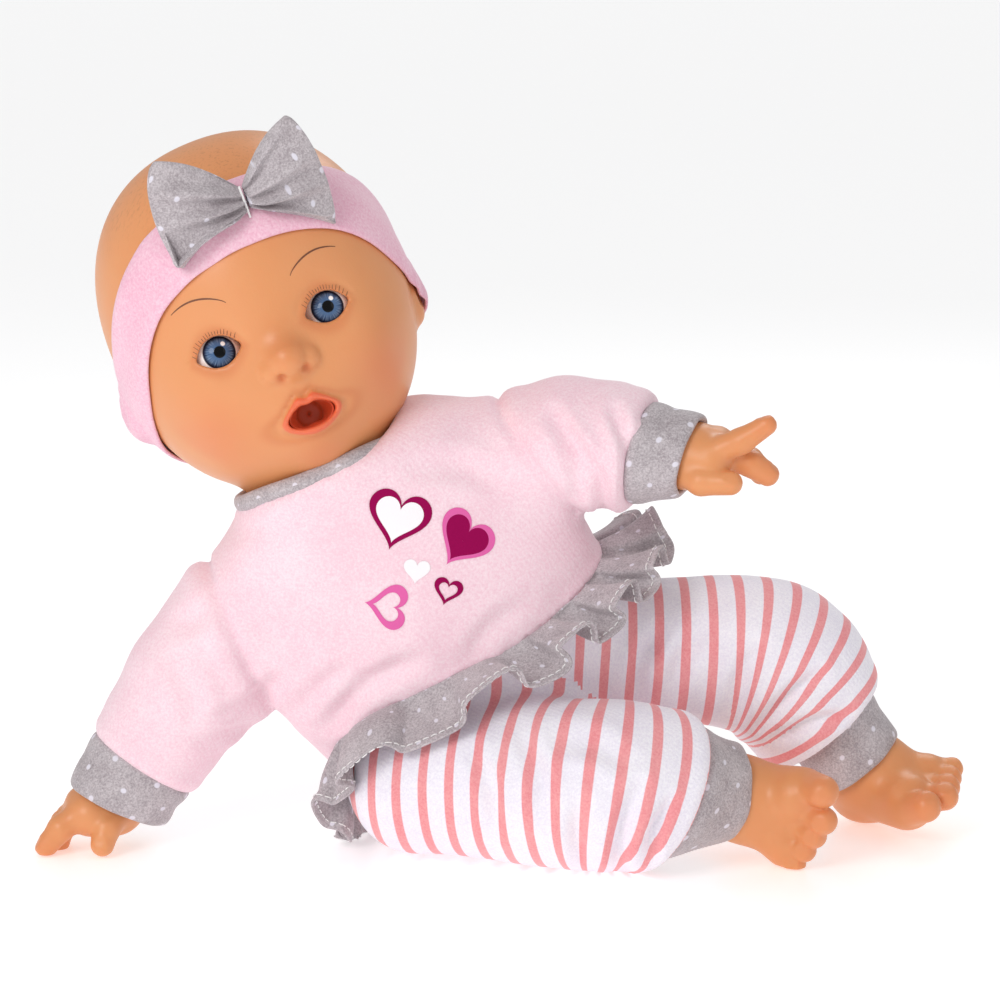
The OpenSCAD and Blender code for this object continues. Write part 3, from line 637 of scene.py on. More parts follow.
def head_paint(p):
    x, y, z = p[:, 0], p[:, 1], p[:, 2]
    front = smooth_step(-20, -30, y)
    over = mouth_opening(x, z) - lip_band(x, z)
    lip = smooth_step(0.35, -0.25, over) * front * (np.abs(x - MOUTH_X) < 14)
    blush = sum(glow(np.hypot(x - side * 33, z - 27), 13) for side in (-1, 1)) * 0.38 * front
    blush = blush + 0.35 * glow(np.hypot(x, z - 4), 10) * front
    # Painted shade in the nostrils, along the lips' outer edge and round the eyelids; the broad patch over the
    # nose is a real warm tint.
    warm_tint_and_shade = sum(glow(np.hypot(x - FACE_X - side * 4.7, z - 37.3), 1.6) for side in (-1, 1)) * 0.95
    warm_tint_and_shade = warm_tint_and_shade + 0.30 * glow(np.hypot(x - FACE_X, z - 47), 9) + 0.35 * glow(mouth_opening(x, z) - 4.5, 1.6)
    for side in (-1, 1):
        warm_tint_and_shade = warm_tint_and_shade + 0.45 * glow(eye_opening(x - side * 19.9, z - EYE_Z) - 1.2, 2.2)
    # The crown, where darker strands are painted as shade for the moulded hair grooves.
    hair_groove_shade = smooth_step(94, 112, z) * 0.6
    return {"lip": lip, "blush": np.clip(blush, 0, 1), "warm_tint_and_shade": np.clip(warm_tint_and_shade, 0, 1) * front, "hair_groove_shade": hair_groove_shade}


def build_head():
    points, quads = field_surface(head_field, (-60, -64, -21), (60, 63, 129), 0.8 * DETAIL, 1)
    piece = quad_object("head_skin", HEAD.out(points), quads, attributes=head_paint(points))
    finish_piece(piece, "vinyl_skin", "head", ["head_shell"])


def bisect(past, low, high):
    """Where past turns from false to true between low and high, for each of their values."""
    for _ in range(16):
        mid = (low + high) / 2
        is_past = past(mid)
        high = np.where(is_past, mid, high)
        low = np.where(is_past, low, mid)
    return (low + high) / 2


def head_radius(d):
    """How far the head's surface is from its middle along unit directions d."""
    ends = np.full(d.shape[:-1], 38.0), np.full(d.shape[:-1], 78.0)
    return bisect(lambda r: head_field(HEAD_MID + d * r[..., None]) > 0, *ends)


def build_eye(side, name):
    gaze = unit((0.9, -8.9, 0.7))
    across = unit(np.cross(gaze, [0, 0, 1]))
    up = np.cross(across, gaze)
    theta = np.radians(np.concatenate([np.linspace(0.6, 45, 22), np.linspace(50, 172, 22)]))
    phi = np.linspace(0, 2 * np.pi, 48, endpoint=False)
    t, f = np.meshgrid(theta, phi, indexing="ij")
    r = EYE_R + 0.35 * glow(t, math.radians(34))
    ball_points = (np.array([side * EYE_X, EYE_Y, EYE_Z])
                   + r[..., None] * (np.cos(t)[..., None] * gaze
                                     + (np.sin(t) * np.cos(f))[..., None] * -across
                                     + (np.sin(t) * np.sin(f))[..., None] * up))
    spread = EYE_R * np.sin(np.minimum(t, np.pi / 2))
    uv = np.stack([spread * np.cos(f), spread * np.sin(f)], -1)
    piece = grid_object(name, HEAD.out(ball_points), uv, (0.0, 0.0))
    finish_piece(piece, "eye_plastic", "head", [name.replace("_ball", "")])


def build_mouth():
    """The pocket behind the lips, round at the teat hole, with a low tongue in front of it."""
    rows = []
    phi = np.linspace(0, 2 * np.pi, 40, endpoint=False)
    for y, share, scale in ((-47.0, 0, 0.93), (-45, 0, 0.97), (-42, 0.3, 0.97), (-38, 0.75, 0.9),
                            (-35, 1, 1.0), (-30, 1, 1.0), (-28.4, 1, 0.96), (-28, 1, 0.5), (-27.9, 1, 0.05)):
        wide, high = 8.3 * scale, np.where(np.sin(phi) > 0, 4.9, 4.5) * scale
        x = (1 - share) * wide * np.cos(phi) + share * 5 * scale * np.cos(phi)
        z = (1 - share) * high * np.sin(phi) + share * 5 * scale * np.sin(phi)
        z = z + 2.0 * glow(y + 40.5, 3.0) * np.exp(-(x / 3.2) ** 2) * (np.sin(phi) < 0)
        rows.append(np.stack([x + MOUTH_X, np.full_like(x, y), z + MOUTH_Z], -1))
    grid = np.array(rows)
    uv = np.zeros(grid.shape[:2] + (2,))
    piece = grid_object("mouth_pocket", HEAD.out(grid), uv, (0.0, 0.0), 0.6)
    subdivide(piece)
    finish_piece(piece, "lip_vinyl", "head", ["mouth_liner"])


def on_face(x, z, lift):
    """The place on the front of the head at x and z, raised by lift."""
    x, z = np.asarray(x, float), np.asarray(z, float)
    ends = np.full(x.shape, -75.0), np.full(x.shape, -20.0)
    y = bisect(lambda y: head_field(np.stack([x, y, z], -1)) < 0, *ends)
    return np.stack([x, y - lift, z], -1)


def build_face_paint():
    """Brows and lashes, each a tapering painted stroke."""
    points, quads = [], []

    def stroke(x, z, width):
        x, z, width = (np.asarray(v, float) for v in (x, z, width))
        along = np.stack([np.gradient(x), np.gradient(z)], -1)
        along /= np.linalg.norm(along, axis=1)[:, None]
        side = np.stack([-along[:, 1], along[:, 0]], -1) * width[:, None] / 2
        start = sum(len(p) for p in points)
        for sign in (-1, 0, 1):
            points.append(on_face(x + sign * side[:, 0], z + sign * side[:, 1], 0.14 if sign == 0 else 0.06))
        quads.append(start + grid_quads(3, len(x), False))

    for side in (-1, 1):
        t = np.linspace(0, 1, 22)
        x = FACE_X + side * (11.8 + 18.6 * t)
        z = 68.3 + 4.4 * np.sin(np.pi * np.minimum(t * 0.86, 1)) ** 0.75 + 0.9 * t
        stroke(x, z, 0.12 + 0.5 * np.sin(np.pi * np.clip(t, 0.02, 0.98)) ** 0.6)
        for k in range(17):
            dx = side * (-6.6 + 14.4 * k / 16)
            top = EYE_Z + 0.3 + 6.0 * (1 - abs(dx / 8.3) ** 2.3) + 0.5
            lean = dx / 9.0
            step = np.linspace(0, 1.5 + 0.3 * math.sin(5 * k), 5)
            stroke(side * 19.9 + 0.4 + dx + lean * step, top + step, 0.22 * (1 - 0.6 * step / 2.4))
    piece = quad_object("brows_and_lashes", HEAD.out(np.concatenate(points)), np.concatenate(quads))
    finish_piece(piece, "vinyl_skin", "head", material=BROWN_PAINT)


# ---------------------------------------------------------------- headband and bow
def turn(axis, degrees):
    a = math.radians(degrees)
    c, s = math.cos(a), math.sin(a)
    i, j = {"x": (1, 2), "y": (2, 0), "z": (0, 1)}[axis]
    m = np.eye(3)
    m[i, i], m[i, j], m[j, i], m[j, j] = c, -s, s, c
    return m


BAND_TURN = turn("y", -5) @ turn("x", -30)
# Around the head from its left side: the band's lower and upper edge, in degrees above its middle plane
BAND_EDGES = [
    (0, -20, 11), (45, -20, 6), (90, -21, 2), (135, -24, 0), (180, -27, -3), (201, -24, 0), (221, -16, 7),
    (235, -11.5, 11), (250, -9.8, 13.5), (270, -9.6, 13), (292, -10.2, 13.5), (308, -11.8, 14.5),
    (323, -15, 15.5), (341, -19.5, 15),
]


def build_headband():
    az = np.arange(0, 360, 2.0)
    table = np.array(BAND_EDGES, float)
    low = np.interp(az, table[:, 0], table[:, 1], period=360)
    high = np.interp(az, table[:, 0], table[:, 2], period=360)
    kernel = np.exp(-np.linspace(-2, 2, 13) ** 2)
    kernel /= kernel.sum()
    low, high = (np.convolve(np.concatenate([v[-6:], v, v[:6]]), kernel, "valid") for v in (low, high))
    across = np.linspace(0, 1, 15)
    el = low + (high - low) * across[:, None]
    d = bearing(np.broadcast_to(az, el.shape), el) @ BAND_TURN.T
    r = head_radius(d)
    # The knit bridges hollows, so it takes the largest radius nearby
    spread = r.copy()
    for shift in (-2, -1, 1, 2):
        spread = np.maximum(spread, np.roll(r, shift, axis=1) - 0.25 * abs(shift))
    edge = np.minimum(across, 1 - across)[:, None]
    lift = 0.9 + 0.9 * smooth_step(0, 0.12, edge)
    ripple = 0.35 * np.sin(np.radians(az) * 23 + 4 * across[:, None]) * glow((az - 262) / 20, 1)
    ripple = ripple + 0.30 * np.sin(across[:, None] * 9 + np.radians(az) * 5)
    grid = HEAD_MID + d * (spread + lift + ripple)[..., None]
    uv = np.stack(np.broadcast_arrays(az * 1.05, across[:, None] * 26), -1)
    piece = grid_object("headband_knit", HEAD.out(grid), uv, (378.0, 0.0), 1.3)
    subdivide(piece)
    finish_piece(piece, "pink_jersey", "head", ["headband"], material=BAND_JERSEY)


BOW_AT = np.array([9.0, -55.0, 99.0])
BOW_TURN = turn("z", 3) @ turn("x", 26)


def bow_loop(side, top, bottom, bulge):
    """One flattened loop of the bow, from the pinched middle to its folded outer edge."""
    s = np.linspace(0, 1, 30)[:, None]
    phi = np.linspace(0, 2 * np.pi, 56, endpoint=False)[None, :]
    v = np.cos(phi)
    pinch_x, pinch_height = side * 0.4, 4.6
    x_out = (top[0] + bottom[0]) / 2 + (top[0] - bottom[0]) / 2 * v + side * bulge * (1 - v ** 2)
    z_out = (top[1] + bottom[1]) / 2 + (top[1] - bottom[1]) / 2 * v
    reach = s * (1 - 0.09 * np.abs(v) ** 5)
    x = pinch_x + (x_out - pinch_x) * reach
    z = pinch_height * v * (1 - s) + z_out * reach - 1.2 * (1 - s)
    z = z + 3.2 * np.sin(np.pi * s) * np.maximum(v, 0) ** 2 + 0.8 * np.sin(np.pi * s) * np.minimum(v, 0)
    thick = 3.0 + 5.6 * np.sin(np.pi * np.clip(s, 0, 1) ** 0.8) ** 0.8 - 0.9 * s
    pleat = (1 - 0.9 * s) ** 0.8 * np.sin(np.pi * np.minimum(s * 3 + 0.12, 1) * 0.5)
    ridge = 1 - 2 * np.abs(np.sin(1.9 * np.pi * v + 0.6 * side + 0.5 * s)) ** 0.7
    folds = pleat * (5.3 * ridge + 1.4 * np.cos(5.3 * np.pi * v + 2 * side))
    sag = 0.5 * np.sin(4 * v + 3 * s * side)
    y = -thick * np.sin(phi) - folds * np.sign(np.sin(phi)) * np.abs(np.sin(phi)) ** 0.3
    y = y + (sag - 0.6) * s * (np.sin(phi) > 0)
    # The back of the loop is nearly flat on the band
    y = np.where(y > 1.2, 1.2 + (y - 1.2) * 0.25, y)
    width = np.linspace(4, 44, 30)[:, None]
    uv = np.stack(np.broadcast_arrays(s * 32 * side, v * width / 2 + 0 * s), -1)
    local = np.stack([x + 0 * phi, y + 0 * s, z + 0 * phi], -1)
    return local, uv


def build_bow():
    """Two padded loops; what would sink into the head is pushed out in front of the band."""
    for side, name, top, bottom, bulge in (
        (-1, "bow_loop_right", (-27.2, 27.0), (-28.4, -22.0), 4.0),
        (1, "bow_loop_left", (24.9, 24.0), (26.8, -26.0), 2.6),
    ):
        local, uv = bow_loop(side, top, bottom, bulge)
        p = BOW_AT + local @ BOW_TURN.T
        d = p - HEAD_MID
        r = np.linalg.norm(d, axis=-1)
        d = d / r[..., None]
        floor = head_radius(d) + 2.3
        depth = np.maximum(floor - r, 0)
        p = p + d * depth[..., None]
        # Where the back is pushed out, the front goes with it
        phi = np.linspace(0, 2 * np.pi, p.shape[1], endpoint=False)
        mirror = (-np.arange(p.shape[1])) % p.shape[1]
        push = np.maximum(depth[:, mirror] - 0.4, 0) * (np.sin(phi) > 0)
        p = p + d * push[..., None]
        end = np.repeat(p[-1:].mean(1, keepdims=True), p.shape[1], 1)
        p = np.concatenate([p, p[-1:] * 0.55 + end * 0.45, end * 0.98 + p[-1:] * 0.02])
        uv = np.concatenate([uv, uv[-1:], uv[-1:]])
        piece = grid_object(name, HEAD.out(p), uv, (0.0, 0.0))
        subdivide(piece)
        finish_piece(piece, "grey_dot_jersey", "head")
    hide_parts("headband_bow")


# ---------------------------------------------------------------- garments
# Height along the torso, shift to the doll's left, half width, half depth, over the clothes
TORSO_STATIONS = np.array([
    [-26, -8, 20, 10], [-22, -7, 38, 21], [-13, -6, 50, 29], [-2, -4, 57, 34.5], [12, -1, 60, 37.5],
    [28, 0, 62, 40], [44, 0, 64.5, 40], [58, 0, 65, 39.5], [72, 0, 63, 38], [88, 0, 60, 35.5],
    [102, 0, 57.5, 33.5], [110, 0, 53, 32.5], [116, 0, 45, 31.5], [121, 0, 34, 30],
], float)


def torso_distance(q):
    """Distance field of the padded torso, for points in the torso's own frame."""
    s, b, u = q[..., 0], q[..., 1], q[..., 2]
    shift, wide, deep = (np.interp(u, TORSO_STATIONS[:, 0], TORSO_STATIONS[:, k]) for k in (1, 2, 3))
    s = s - shift
    r = np.hypot(s, b)
    ratio = (np.abs(s / wide) ** 2.2 + np.abs(b / deep) ** 2.2 + 1e-9) ** (1 / 2.2)
    d = r * (1 - 1 / ratio)
    return np.maximum(np.where(ratio < 0.3, -20.0, d), np.maximum(-26 - u, u - 120))


def hem_height(s, b):
    """Where the top's hem runs: higher over the front of the right thigh, lower at the doll's right side."""
    over_thigh = 7.5 * np.exp(-((s + 24) / 34) ** 2) * smooth_step(8, -14, b)
    return 33.5 + over_thigh - 20 * (1 - smooth_step(-62, -46, s))


def plane_side(p, at, normal):
    return (p - at) @ unit(normal)


def tilt(direction, degrees):
    """A direction turned about the part's y axis."""
    return turn("y", degrees) @ np.asarray(direction, float)


class Cuff:
    """A knitted band between two tilted rings on a limb's axis."""

    def __init__(self, start, end, seam, rim, seam_r, rim_r, seam_tilt, rim_tilt):
        self.along = unit(end - start)
        self.seam_at, self.rim_at = end + seam * self.along, end + rim * self.along
        self.seam_r, self.rim_r = seam_r, rim_r
        self.seam_n, self.rim_n = tilt(self.along, seam_tilt), tilt(self.along, rim_tilt)


CUFFS = {
    "right_sleeve": Cuff(R_SHOULDER, R_WRIST, -12.2, 4.0, 19.0, 18.0, 0, -8),
    "left_sleeve": Cuff(L_SHOULDER, L_WRIST, -10.5, 6.0, 17.2, 14.4, 10, 14),
    "right_legging": Cuff(R_KNEE, R_ANKLE, -18.5, 4.5, 24.2, 16.2, 19, 6),
    "left_legging": Cuff(L_KNEE, L_ANKLE, -16.4, 1.5, 17.0, 17.4, -11, -7),
}


def right_arm_path():
    c = CUFFS["right_sleeve"]
    return [R_SHOULDER + (4, 0, 4), R_SHOULDER + 22 * c.along, R_SHOULDER + 42 * c.along,
            c.seam_at + 4 * c.along]


def left_arm_path():
    c = CUFFS["left_sleeve"]
    bend = np.array([0, 0, 2.0])
    return [L_SHOULDER - (6, 0, 4), L_SHOULDER + 16 * c.along + bend, L_SHOULDER + 32 * c.along + bend,
            c.seam_at + 4 * c.along]


RIGHT_ARM_R = (25.5, 24.6, 22.0, 19.2)
LEFT_ARM_R = (22.0, 23.0, 22.0, 17.6)


def bezier(a, b, c, n):
    t = np.linspace(0, 1, n)[:, None]
    return (1 - t) ** 2 * a + 2 * t * (1 - t) * b + t ** 2 * c


def right_leg_path():
    c = CUFFS["right_legging"]
    d1 = unit(R_KNEE - R_HIP)
    lift = np.array([0, 0, 2.0])
    bend = bezier(R_KNEE - 26 * d1 + lift, R_KNEE + lift, c.seam_at + (0, 0, 1.5) - 4 * c.along, 7)
    return [R_HIP - 6 * d1 + lift * 0.5] + list(bend) + [c.seam_at + 5 * c.along]


def left_leg_path():
    c = CUFFS["left_legging"]
    d1 = unit(L_KNEE - L_HIP)
    bend = bezier(L_KNEE - 26 * d1, L_KNEE + (-1, 0, 1), L_KNEE + (6.5, 0, -19), 7)
    return [L_HIP - 4 * d1] + list(bend) + [c.seam_at - 1 * c.along, c.seam_at + 5 * c.along]


RIGHT_LEG_R = (27, 28.3, 28.6, 28.8, 28.8, 28.4, 27.6, 26.6, 24.0)
LEFT_LEG_R = (25.5, 26, 27, 28, 28.3, 28, 27.2, 25.5, 19.0, 16.8)


def top_field(p):
    q = TORSO.into(p)
    body = torso_distance(q)
    right = path_rod(p, right_arm_path(), RIGHT_ARM_R)
    left = path_rod(p, left_arm_path(), LEFT_ARM_R)
    f = join(join(body, right, 12), left, 11)
    f = np.maximum(f, hem_height(q[..., 0], q[..., 1]) - q[..., 2])
    for c in (CUFFS["right_sleeve"], CUFFS["left_sleeve"]):
        near = np.linalg.norm(p - c.seam_at, axis=-1) < 45
        f = np.where(near, np.maximum(f, plane_side(p, c.seam_at, c.seam_n) - 1), f)
    # A low collar that rises to the binding, with the neck's opening in it
    h = HEAD.into(p)
    around = np.hypot(h[..., 0], h[..., 1])
    taper = 33.4 - 0.9 * np.maximum(-h[..., 2] - 5, 0)
    mound = np.maximum((around - taper) * 0.75, np.maximum(h[..., 2] + 0.4, -18 - h[..., 2]))
    f = join(f, mound, 8)
    f = cut(f, np.maximum(around - 30.6, -4 - h[..., 2]), 1.0)
    return np.maximum(f, 0.6 - p[..., 2])


def legs_field(p):
    right = path_rod(p, right_leg_path(), RIGHT_LEG_R)
    left = path_rod(p, left_leg_path(), LEFT_LEG_R)
    for f, c in ((right, CUFFS["right_legging"]), (left, CUFFS["left_legging"])):
        np.maximum(f, plane_side(p, c.seam_at, c.seam_n) - 1, out=f)
    return right, left


def leggings_field(p):
    q = TORSO.into(p)
    seat = torso_distance(q) + 1.6
    seat = np.maximum(seat, q[..., 2] - hem_height(q[..., 0], q[..., 1]) - 3)
    right, left = legs_field(p)
    f = join(join(seat, right, 9), left, 9)
    return np.maximum(f, 0.35 - p[..., 2])


def crease(points, normals, where, facing, folds):
    """Presses folds into the cloth that faces one way. Each fold has two ends, a depth and a width, and is
    measured in the flat coordinates given in where; its banks stand a little proud."""
    move = np.zeros(len(points))
    for a, b, depth, width in folds:
        a, b = np.array(a, float), np.array(b, float)
        t = np.clip((where - a) @ (b - a) / ((b - a) @ (b - a)), 0, 1)
        bow = 0.09 * np.sin(np.pi * t)[:, None] * np.array([a[1] - b[1], b[0] - a[0]])
        d = np.linalg.norm(where - a - t[:, None] * (b - a) - bow, axis=1)
        fade = np.sin(np.pi * np.clip(t * 0.9 + 0.05, 0, 1)) ** 0.6
        move += fade * depth * (0.7 * glow(d - 2.1 * width, width) - 1.5 * glow(d, 1.25 * width))
    return points + normals * (move * facing)[:, None]


def fan_along(p, start, knee, after, turn_at, inner_r):
    """Length along a bent leg in mm; round the knee the lines of equal length fan out of its inner crease."""
    d1, d2 = unit(knee - start), unit(after)
    inward = unit(d2 - (d2 @ d1) * d1)
    hub = start + d1 * turn_at + inward * inner_r
    q = p - hub
    angle = np.arctan2(q @ d1, np.maximum(-(q @ inward), 0.01))
    full = math.acos(np.clip(d1 @ d2, -1, 1))
    mean_r = inner_r + 20
    before = turn_at + q @ d1
    during = turn_at + mean_r * angle
    beyond = turn_at + mean_r * full + q @ d2
    return np.where(angle < 0, before, np.where(angle < full, during, beyond))


def tuck_at_cuffs(points, where, normals, cuffs, reach, swell, width):
    """Draws the cloth in under each cuff, after a soft swell in front of it."""
    for c in cuffs:
        d = plane_side(where, c.seam_at, c.seam_n)
        near = np.linalg.norm(where - c.seam_at, axis=1) < reach
        tuck = swell * glow(d + 5.0, width) - 1.8 * smooth_step(-2.5, 0.5, d)
        points = points + normals * (near * tuck)[:, None]
    return points


def split_piece(name, points, quads, normals, keep, along=None):
    """The quads where keep is true, as a piece that shades as one with its neighbours."""
    if along is None:
        points, part, normals = used_only(points, quads[keep], normals)
        return quad_object(name, points, part, normals=normals)
    points, part, normals, along = used_only(points, quads[keep], normals, along)
    return quad_object(name, points, part, normals=normals, attributes={"along": along})


R_ARMHOLE_N = unit((-0.913, -0.05, -0.407))
L_ARMHOLE_N = unit((0.80, -0.10, 0.60))
R_ARMHOLE = R_SHOULDER - 4.4 * R_ARMHOLE_N
L_ARMHOLE = L_SHOULDER + 2.4 * L_ARMHOLE_N


def build_top():
    points, quads = field_surface(top_field, (-160, -60, -2), (62, 56, 176), 1.6 * DETAIL, 3)
    normals = vertex_normals(points, quads)
    right = plane_side(points, R_ARMHOLE, R_ARMHOLE_N)
    left = plane_side(points, L_ARMHOLE, L_ARMHOLE_N)
    q = TORSO.into(points)
    is_right = (right > 0) & (points[:, 2] < 112)
    is_left = (left > 0) & (path_rod(points, left_arm_path(), LEFT_ARM_R) < 8)
    # Armhole seams draw the cloth in, and the sleeve swells just past them
    near_right = np.where(points[:, 2] < 116, right, 99)
    near_left = np.where(q[:, 2] > 55, left, 99)
    pull = -2.3 * glow(near_right, 1.8) + 1.2 * glow(near_right - 6, 4)
    pull = pull - 2.1 * glow(near_left, 1.8) + 1.0 * glow(near_left - 6, 4)
    points = points + normals * pull[:, None]
    front = smooth_step(0.05, 0.45, -normals @ TORSO.m[1])
    back = smooth_step(0.05, 0.45, normals @ TORSO.m[1])
    on_arms = np.stack([points[:, 0], points[:, 2]], -1)
    rx, rz, lx, lz = R_SHOULDER[0], R_SHOULDER[2], L_SHOULDER[0], L_SHOULDER[2]
    points = crease(points, normals, on_arms, front * (left > -2), [
        ((lx + 10, lz + 14), (lx + 19, lz - 13), 2.2, 2.6),
        ((lx + 19, lz + 4), (lx + 27, lz - 19), 1.8, 2.2),
        ((lx + 31, lz + 16), (lx + 35, lz - 16), 2.6, 2.0),
        ((lx + 38, lz + 8), (lx + 37, lz - 18), 2.4, 1.7),
        ((lx + 43, lz + 15), (lx + 42, lz - 8), 1.4, 1.5),
    ])
    points = crease(points, normals, on_arms, front * (points[:, 0] < rx + 26), [
        ((rx + 20, rz - 12), (rx - 2, rz - 26), 2.0, 3.0),
        ((rx + 14, rz - 25), (rx - 6, rz - 34), 1.6, 2.6),
        ((rx - 16, rz - 6), (rx - 10, rz - 30), 0.9, 3.4),
        ((rx - 4, rz + 16), (rx - 16, rz + 6), 0.9, 3.0),
    ])
    on_body = np.stack([q[:, 0], q[:, 2]], -1)
    points = crease(points, normals, on_body, front * (right < 4) * (left < 4), [
        ((-50, 47), (-10, 52), 2.6, 3.2),
        ((-54, 56), (-26, 60), 1.5, 3.2),
        ((6, 42), (34, 45), 0.9, 3.0),
        ((30, 106), (50, 84), 1.1, 3.2),
        ((-52, 94), (-38, 78), 1.2, 3.2),
    ])
    points = crease(points, normals, on_body, back, [
        ((-24, 60), (22, 56), 1.6, 3.4),
        ((-38, 80), (-8, 76), 1.2, 3.0),
        ((40, 92), (16, 84), 1.2, 3.0),
    ])
    slow = np.sin(q[:, 0] / 9 + 1.3 * np.sin(q[:, 2] / 13)) * np.sin(q[:, 2] / 11 + np.sin(q[:, 1] / 17))
    points = points + normals * (0.35 * slow)[:, None]
    cuffs = (CUFFS["right_sleeve"], CUFFS["left_sleeve"])
    points = tuck_at_cuffs(points, points, normals, cuffs, 30, 0.8, 3.0)
    hem_roll = q[:, 2] - hem_height(q[:, 0], q[:, 1])
    points = points + normals * (0.7 * glow(hem_roll - 1.5, 1.6))[:, None]
    normals = vertex_normals(points, quads)
    quad_right = is_right[quads].sum(1) >= 2
    quad_left = is_left[quads].sum(1) >= 2
    bodice = split_piece("top_front_and_back", points, quads, normals, ~(quad_right | quad_left))
    finish_piece(bodice, "pink_jersey", "torso", ["top_bodice", "back_closure", "cloth_body"])
    for side, keep, seam, outward in (
        ("right", quad_right, R_ARMHOLE, R_ARMHOLE_N),
        ("left", quad_left, L_ARMHOLE, L_ARMHOLE_N),
    ):
        sleeve = split_piece(side + "_sleeve_knit", points, quads, normals, keep)
        finish_piece(sleeve, "pink_jersey", nodes=[side + "_sleeve", side + "_arm"],
                     blend=("torso", side + "_arm", seam + 1.5 * outward, seam + 24 * outward))
    return points, quads


def build_leggings():
    points, quads = field_surface(leggings_field, (-78, -76, 0.0), (150, 62, 104), 1.7 * DETAIL, 3)
    normals = vertex_normals(points, quads)
    right, left = legs_field(points)
    rc, lc = CUFFS["right_legging"], CUFFS["left_legging"]
    r_dir, l_dir = unit(R_KNEE - R_HIP), unit(L_KNEE - L_HIP)
    is_left = left < right + 4
    s_right = (points - R_HIP) @ r_dir
    s_left = (points - L_HIP) @ l_dir
    # Stripe position: along each leg, and along the torso's fall on the seat
    along_right = fan_along(points, R_HIP, R_KNEE, rc.seam_n, 50, 42) + 2.0
    along_left = fan_along(points, L_HIP, L_KNEE, lc.seam_n + 0.25 * lc.along, 48, 42) + 4.0
    front = smooth_step(0.05, 0.5, -normals[:, 1])
    back = smooth_step(0.05, 0.5, normals[:, 1])
    flat = np.stack([points[:, 0], points[:, 2]], -1)
    kx, kz, lx, lz = R_KNEE[0], R_KNEE[2], L_KNEE[0], L_KNEE[2]
    moved = crease(points, normals, flat, front * ~is_left, [
        ((kx + 4, kz - 26), (kx + 10, kz + 8), 2.4, 2.4),
        ((kx - 8, kz - 24), (kx - 10, kz + 2), 1.8, 2.6),
        ((kx + 14, kz - 20), (kx + 21, kz + 2), 2.0, 2.0),
        ((kx - 30, kz + 24), (kx - 24, kz - 4), 1.6, 2.8),
        ((kx - 46, kz + 16), (kx - 40, kz - 10), 1.6, 2.6),
        ((kx - 18, kz + 22), (kx + 6, kz + 16), 1.2, 3.0),
    ])
    moved = crease(moved, normals, flat, front * is_left, [
        ((lx - 12, lz - 22), (lx + 8, lz - 2), 2.6, 2.3),
        ((lx - 6, lz - 27), (lx + 18, lz - 18), 2.0, 2.2),
        ((lx - 22, lz - 18), (lx - 14, lz + 8), 1.8, 2.6),
        ((lx - 44, lz - 10), (lx - 34, lz + 14), 1.6, 2.8),
        ((lx - 58, lz - 8), (lx - 50, lz + 12), 1.5, 2.6),
    ])
    moved = crease(moved, normals, flat, back, [
        ((lx - 16, lz - 22), (lx + 10, lz - 6), 1.8, 2.6),
        ((-10, 38), (28, 34), 1.4, 3.2),
        ((-8, 20), (-6, 52), 1.5, 2.8),
    ])
    slow = np.sin(np.where(is_left, along_left, along_right) / 7.0 + np.sin(points[:, 2] / 9))
    slow = slow * np.sin(points[:, 2] / 10 + points[:, 1] / 14)
    moved = moved + normals * (0.45 * slow)[:, None]
    moved = tuck_at_cuffs(moved, points, normals, (rc, lc), 34, 0.9, 3.2)
    moved[:, 2] = np.maximum(moved[:, 2], 0.3)
    points = moved
    normals = vertex_normals(points, quads)
    r_cut, l_cut, r_mid, l_mid = 6.0, 12.0, 34.0, 38.0
    group = np.zeros(len(points), int)
    group[~is_left & (s_right > r_cut) & (right < 6)] = 1
    group[~is_left & (s_right > r_mid) & (right < 6)] = 2
    group[is_left & (s_left > l_cut) & (left < 6)] = 3
    group[is_left & (s_left > l_mid) & (left < 6)] = 4
    quad_group = group[quads].max(1)
    quad_left = is_left[quads].sum(1) >= 2
    for name, half, along, nodes in (
        ("leggings_seat_right_half", ~quad_left, along_right, ["leggings_seat", "waist_elastic"]),
        ("leggings_seat_left_half", quad_left, along_left, []),
    ):
        piece = split_piece(name, points, quads, normals, (quad_group == 0) & half, along)
        finish_piece(piece, "striped_jersey", "torso", nodes)
    r_start, l_start = R_HIP + (r_cut + 1) * r_dir, L_HIP + (l_cut + 1) * l_dir
    for name, number, along, nodes, blend in (
        ("right_legging_upper", 1, along_right, ["right_thigh", "right_legging_thigh"],
         ("torso", "right_thigh", r_start, R_HIP + (r_mid - 3) * r_dir)),
        ("right_legging_lower", 2, along_right, ["right_shin", "right_legging_shin"],
         ("right_thigh", "right_shin", R_HIP + (r_mid + 2) * r_dir, R_KNEE + 18 * unit(R_ANKLE - R_HIP))),
        ("left_legging_upper", 3, along_left, ["left_thigh", "left_legging_thigh"],
         ("torso", "left_thigh", l_start, L_HIP + (l_mid - 3) * l_dir)),
        ("left_legging_lower", 4, along_left, ["left_shin", "left_legging_shin"],
         ("left_thigh", "left_shin", L_HIP + (l_mid + 2) * l_dir, L_KNEE + (12, 0, -16))),
    ):
        piece = split_piece(name, points, quads, normals, quad_group == number, along)
        finish_piece(piece, "striped_jersey", nodes=nodes, blend=blend)


def build_gusset():
    """Cloth inside the crotch and seat, which shows where the leggings open when the legs swing."""

    def inner_field(p):
        right, left = legs_field(p)
        between = np.maximum(np.maximum(right, left) - 17, ball(p, R_HIP, 49))
        near = np.minimum(ball(p, R_HIP, 30), ball(p, L_HIP, 27))
        return np.maximum(leggings_field(p) + 2.0, np.minimum(near, between))

    points, quads = field_surface(inner_field, (-78, -76, 0.0), (90, 62, 104), 2.2 * DETAIL, 2)
    along = TORSO.into(points)[:, 2] + 4.0
    piece = quad_object("leggings_gusset", points, quads, normals=vertex_normals(points, quads),
                        attributes={"along": along})
    finish_piece(piece, "striped_jersey", "torso")


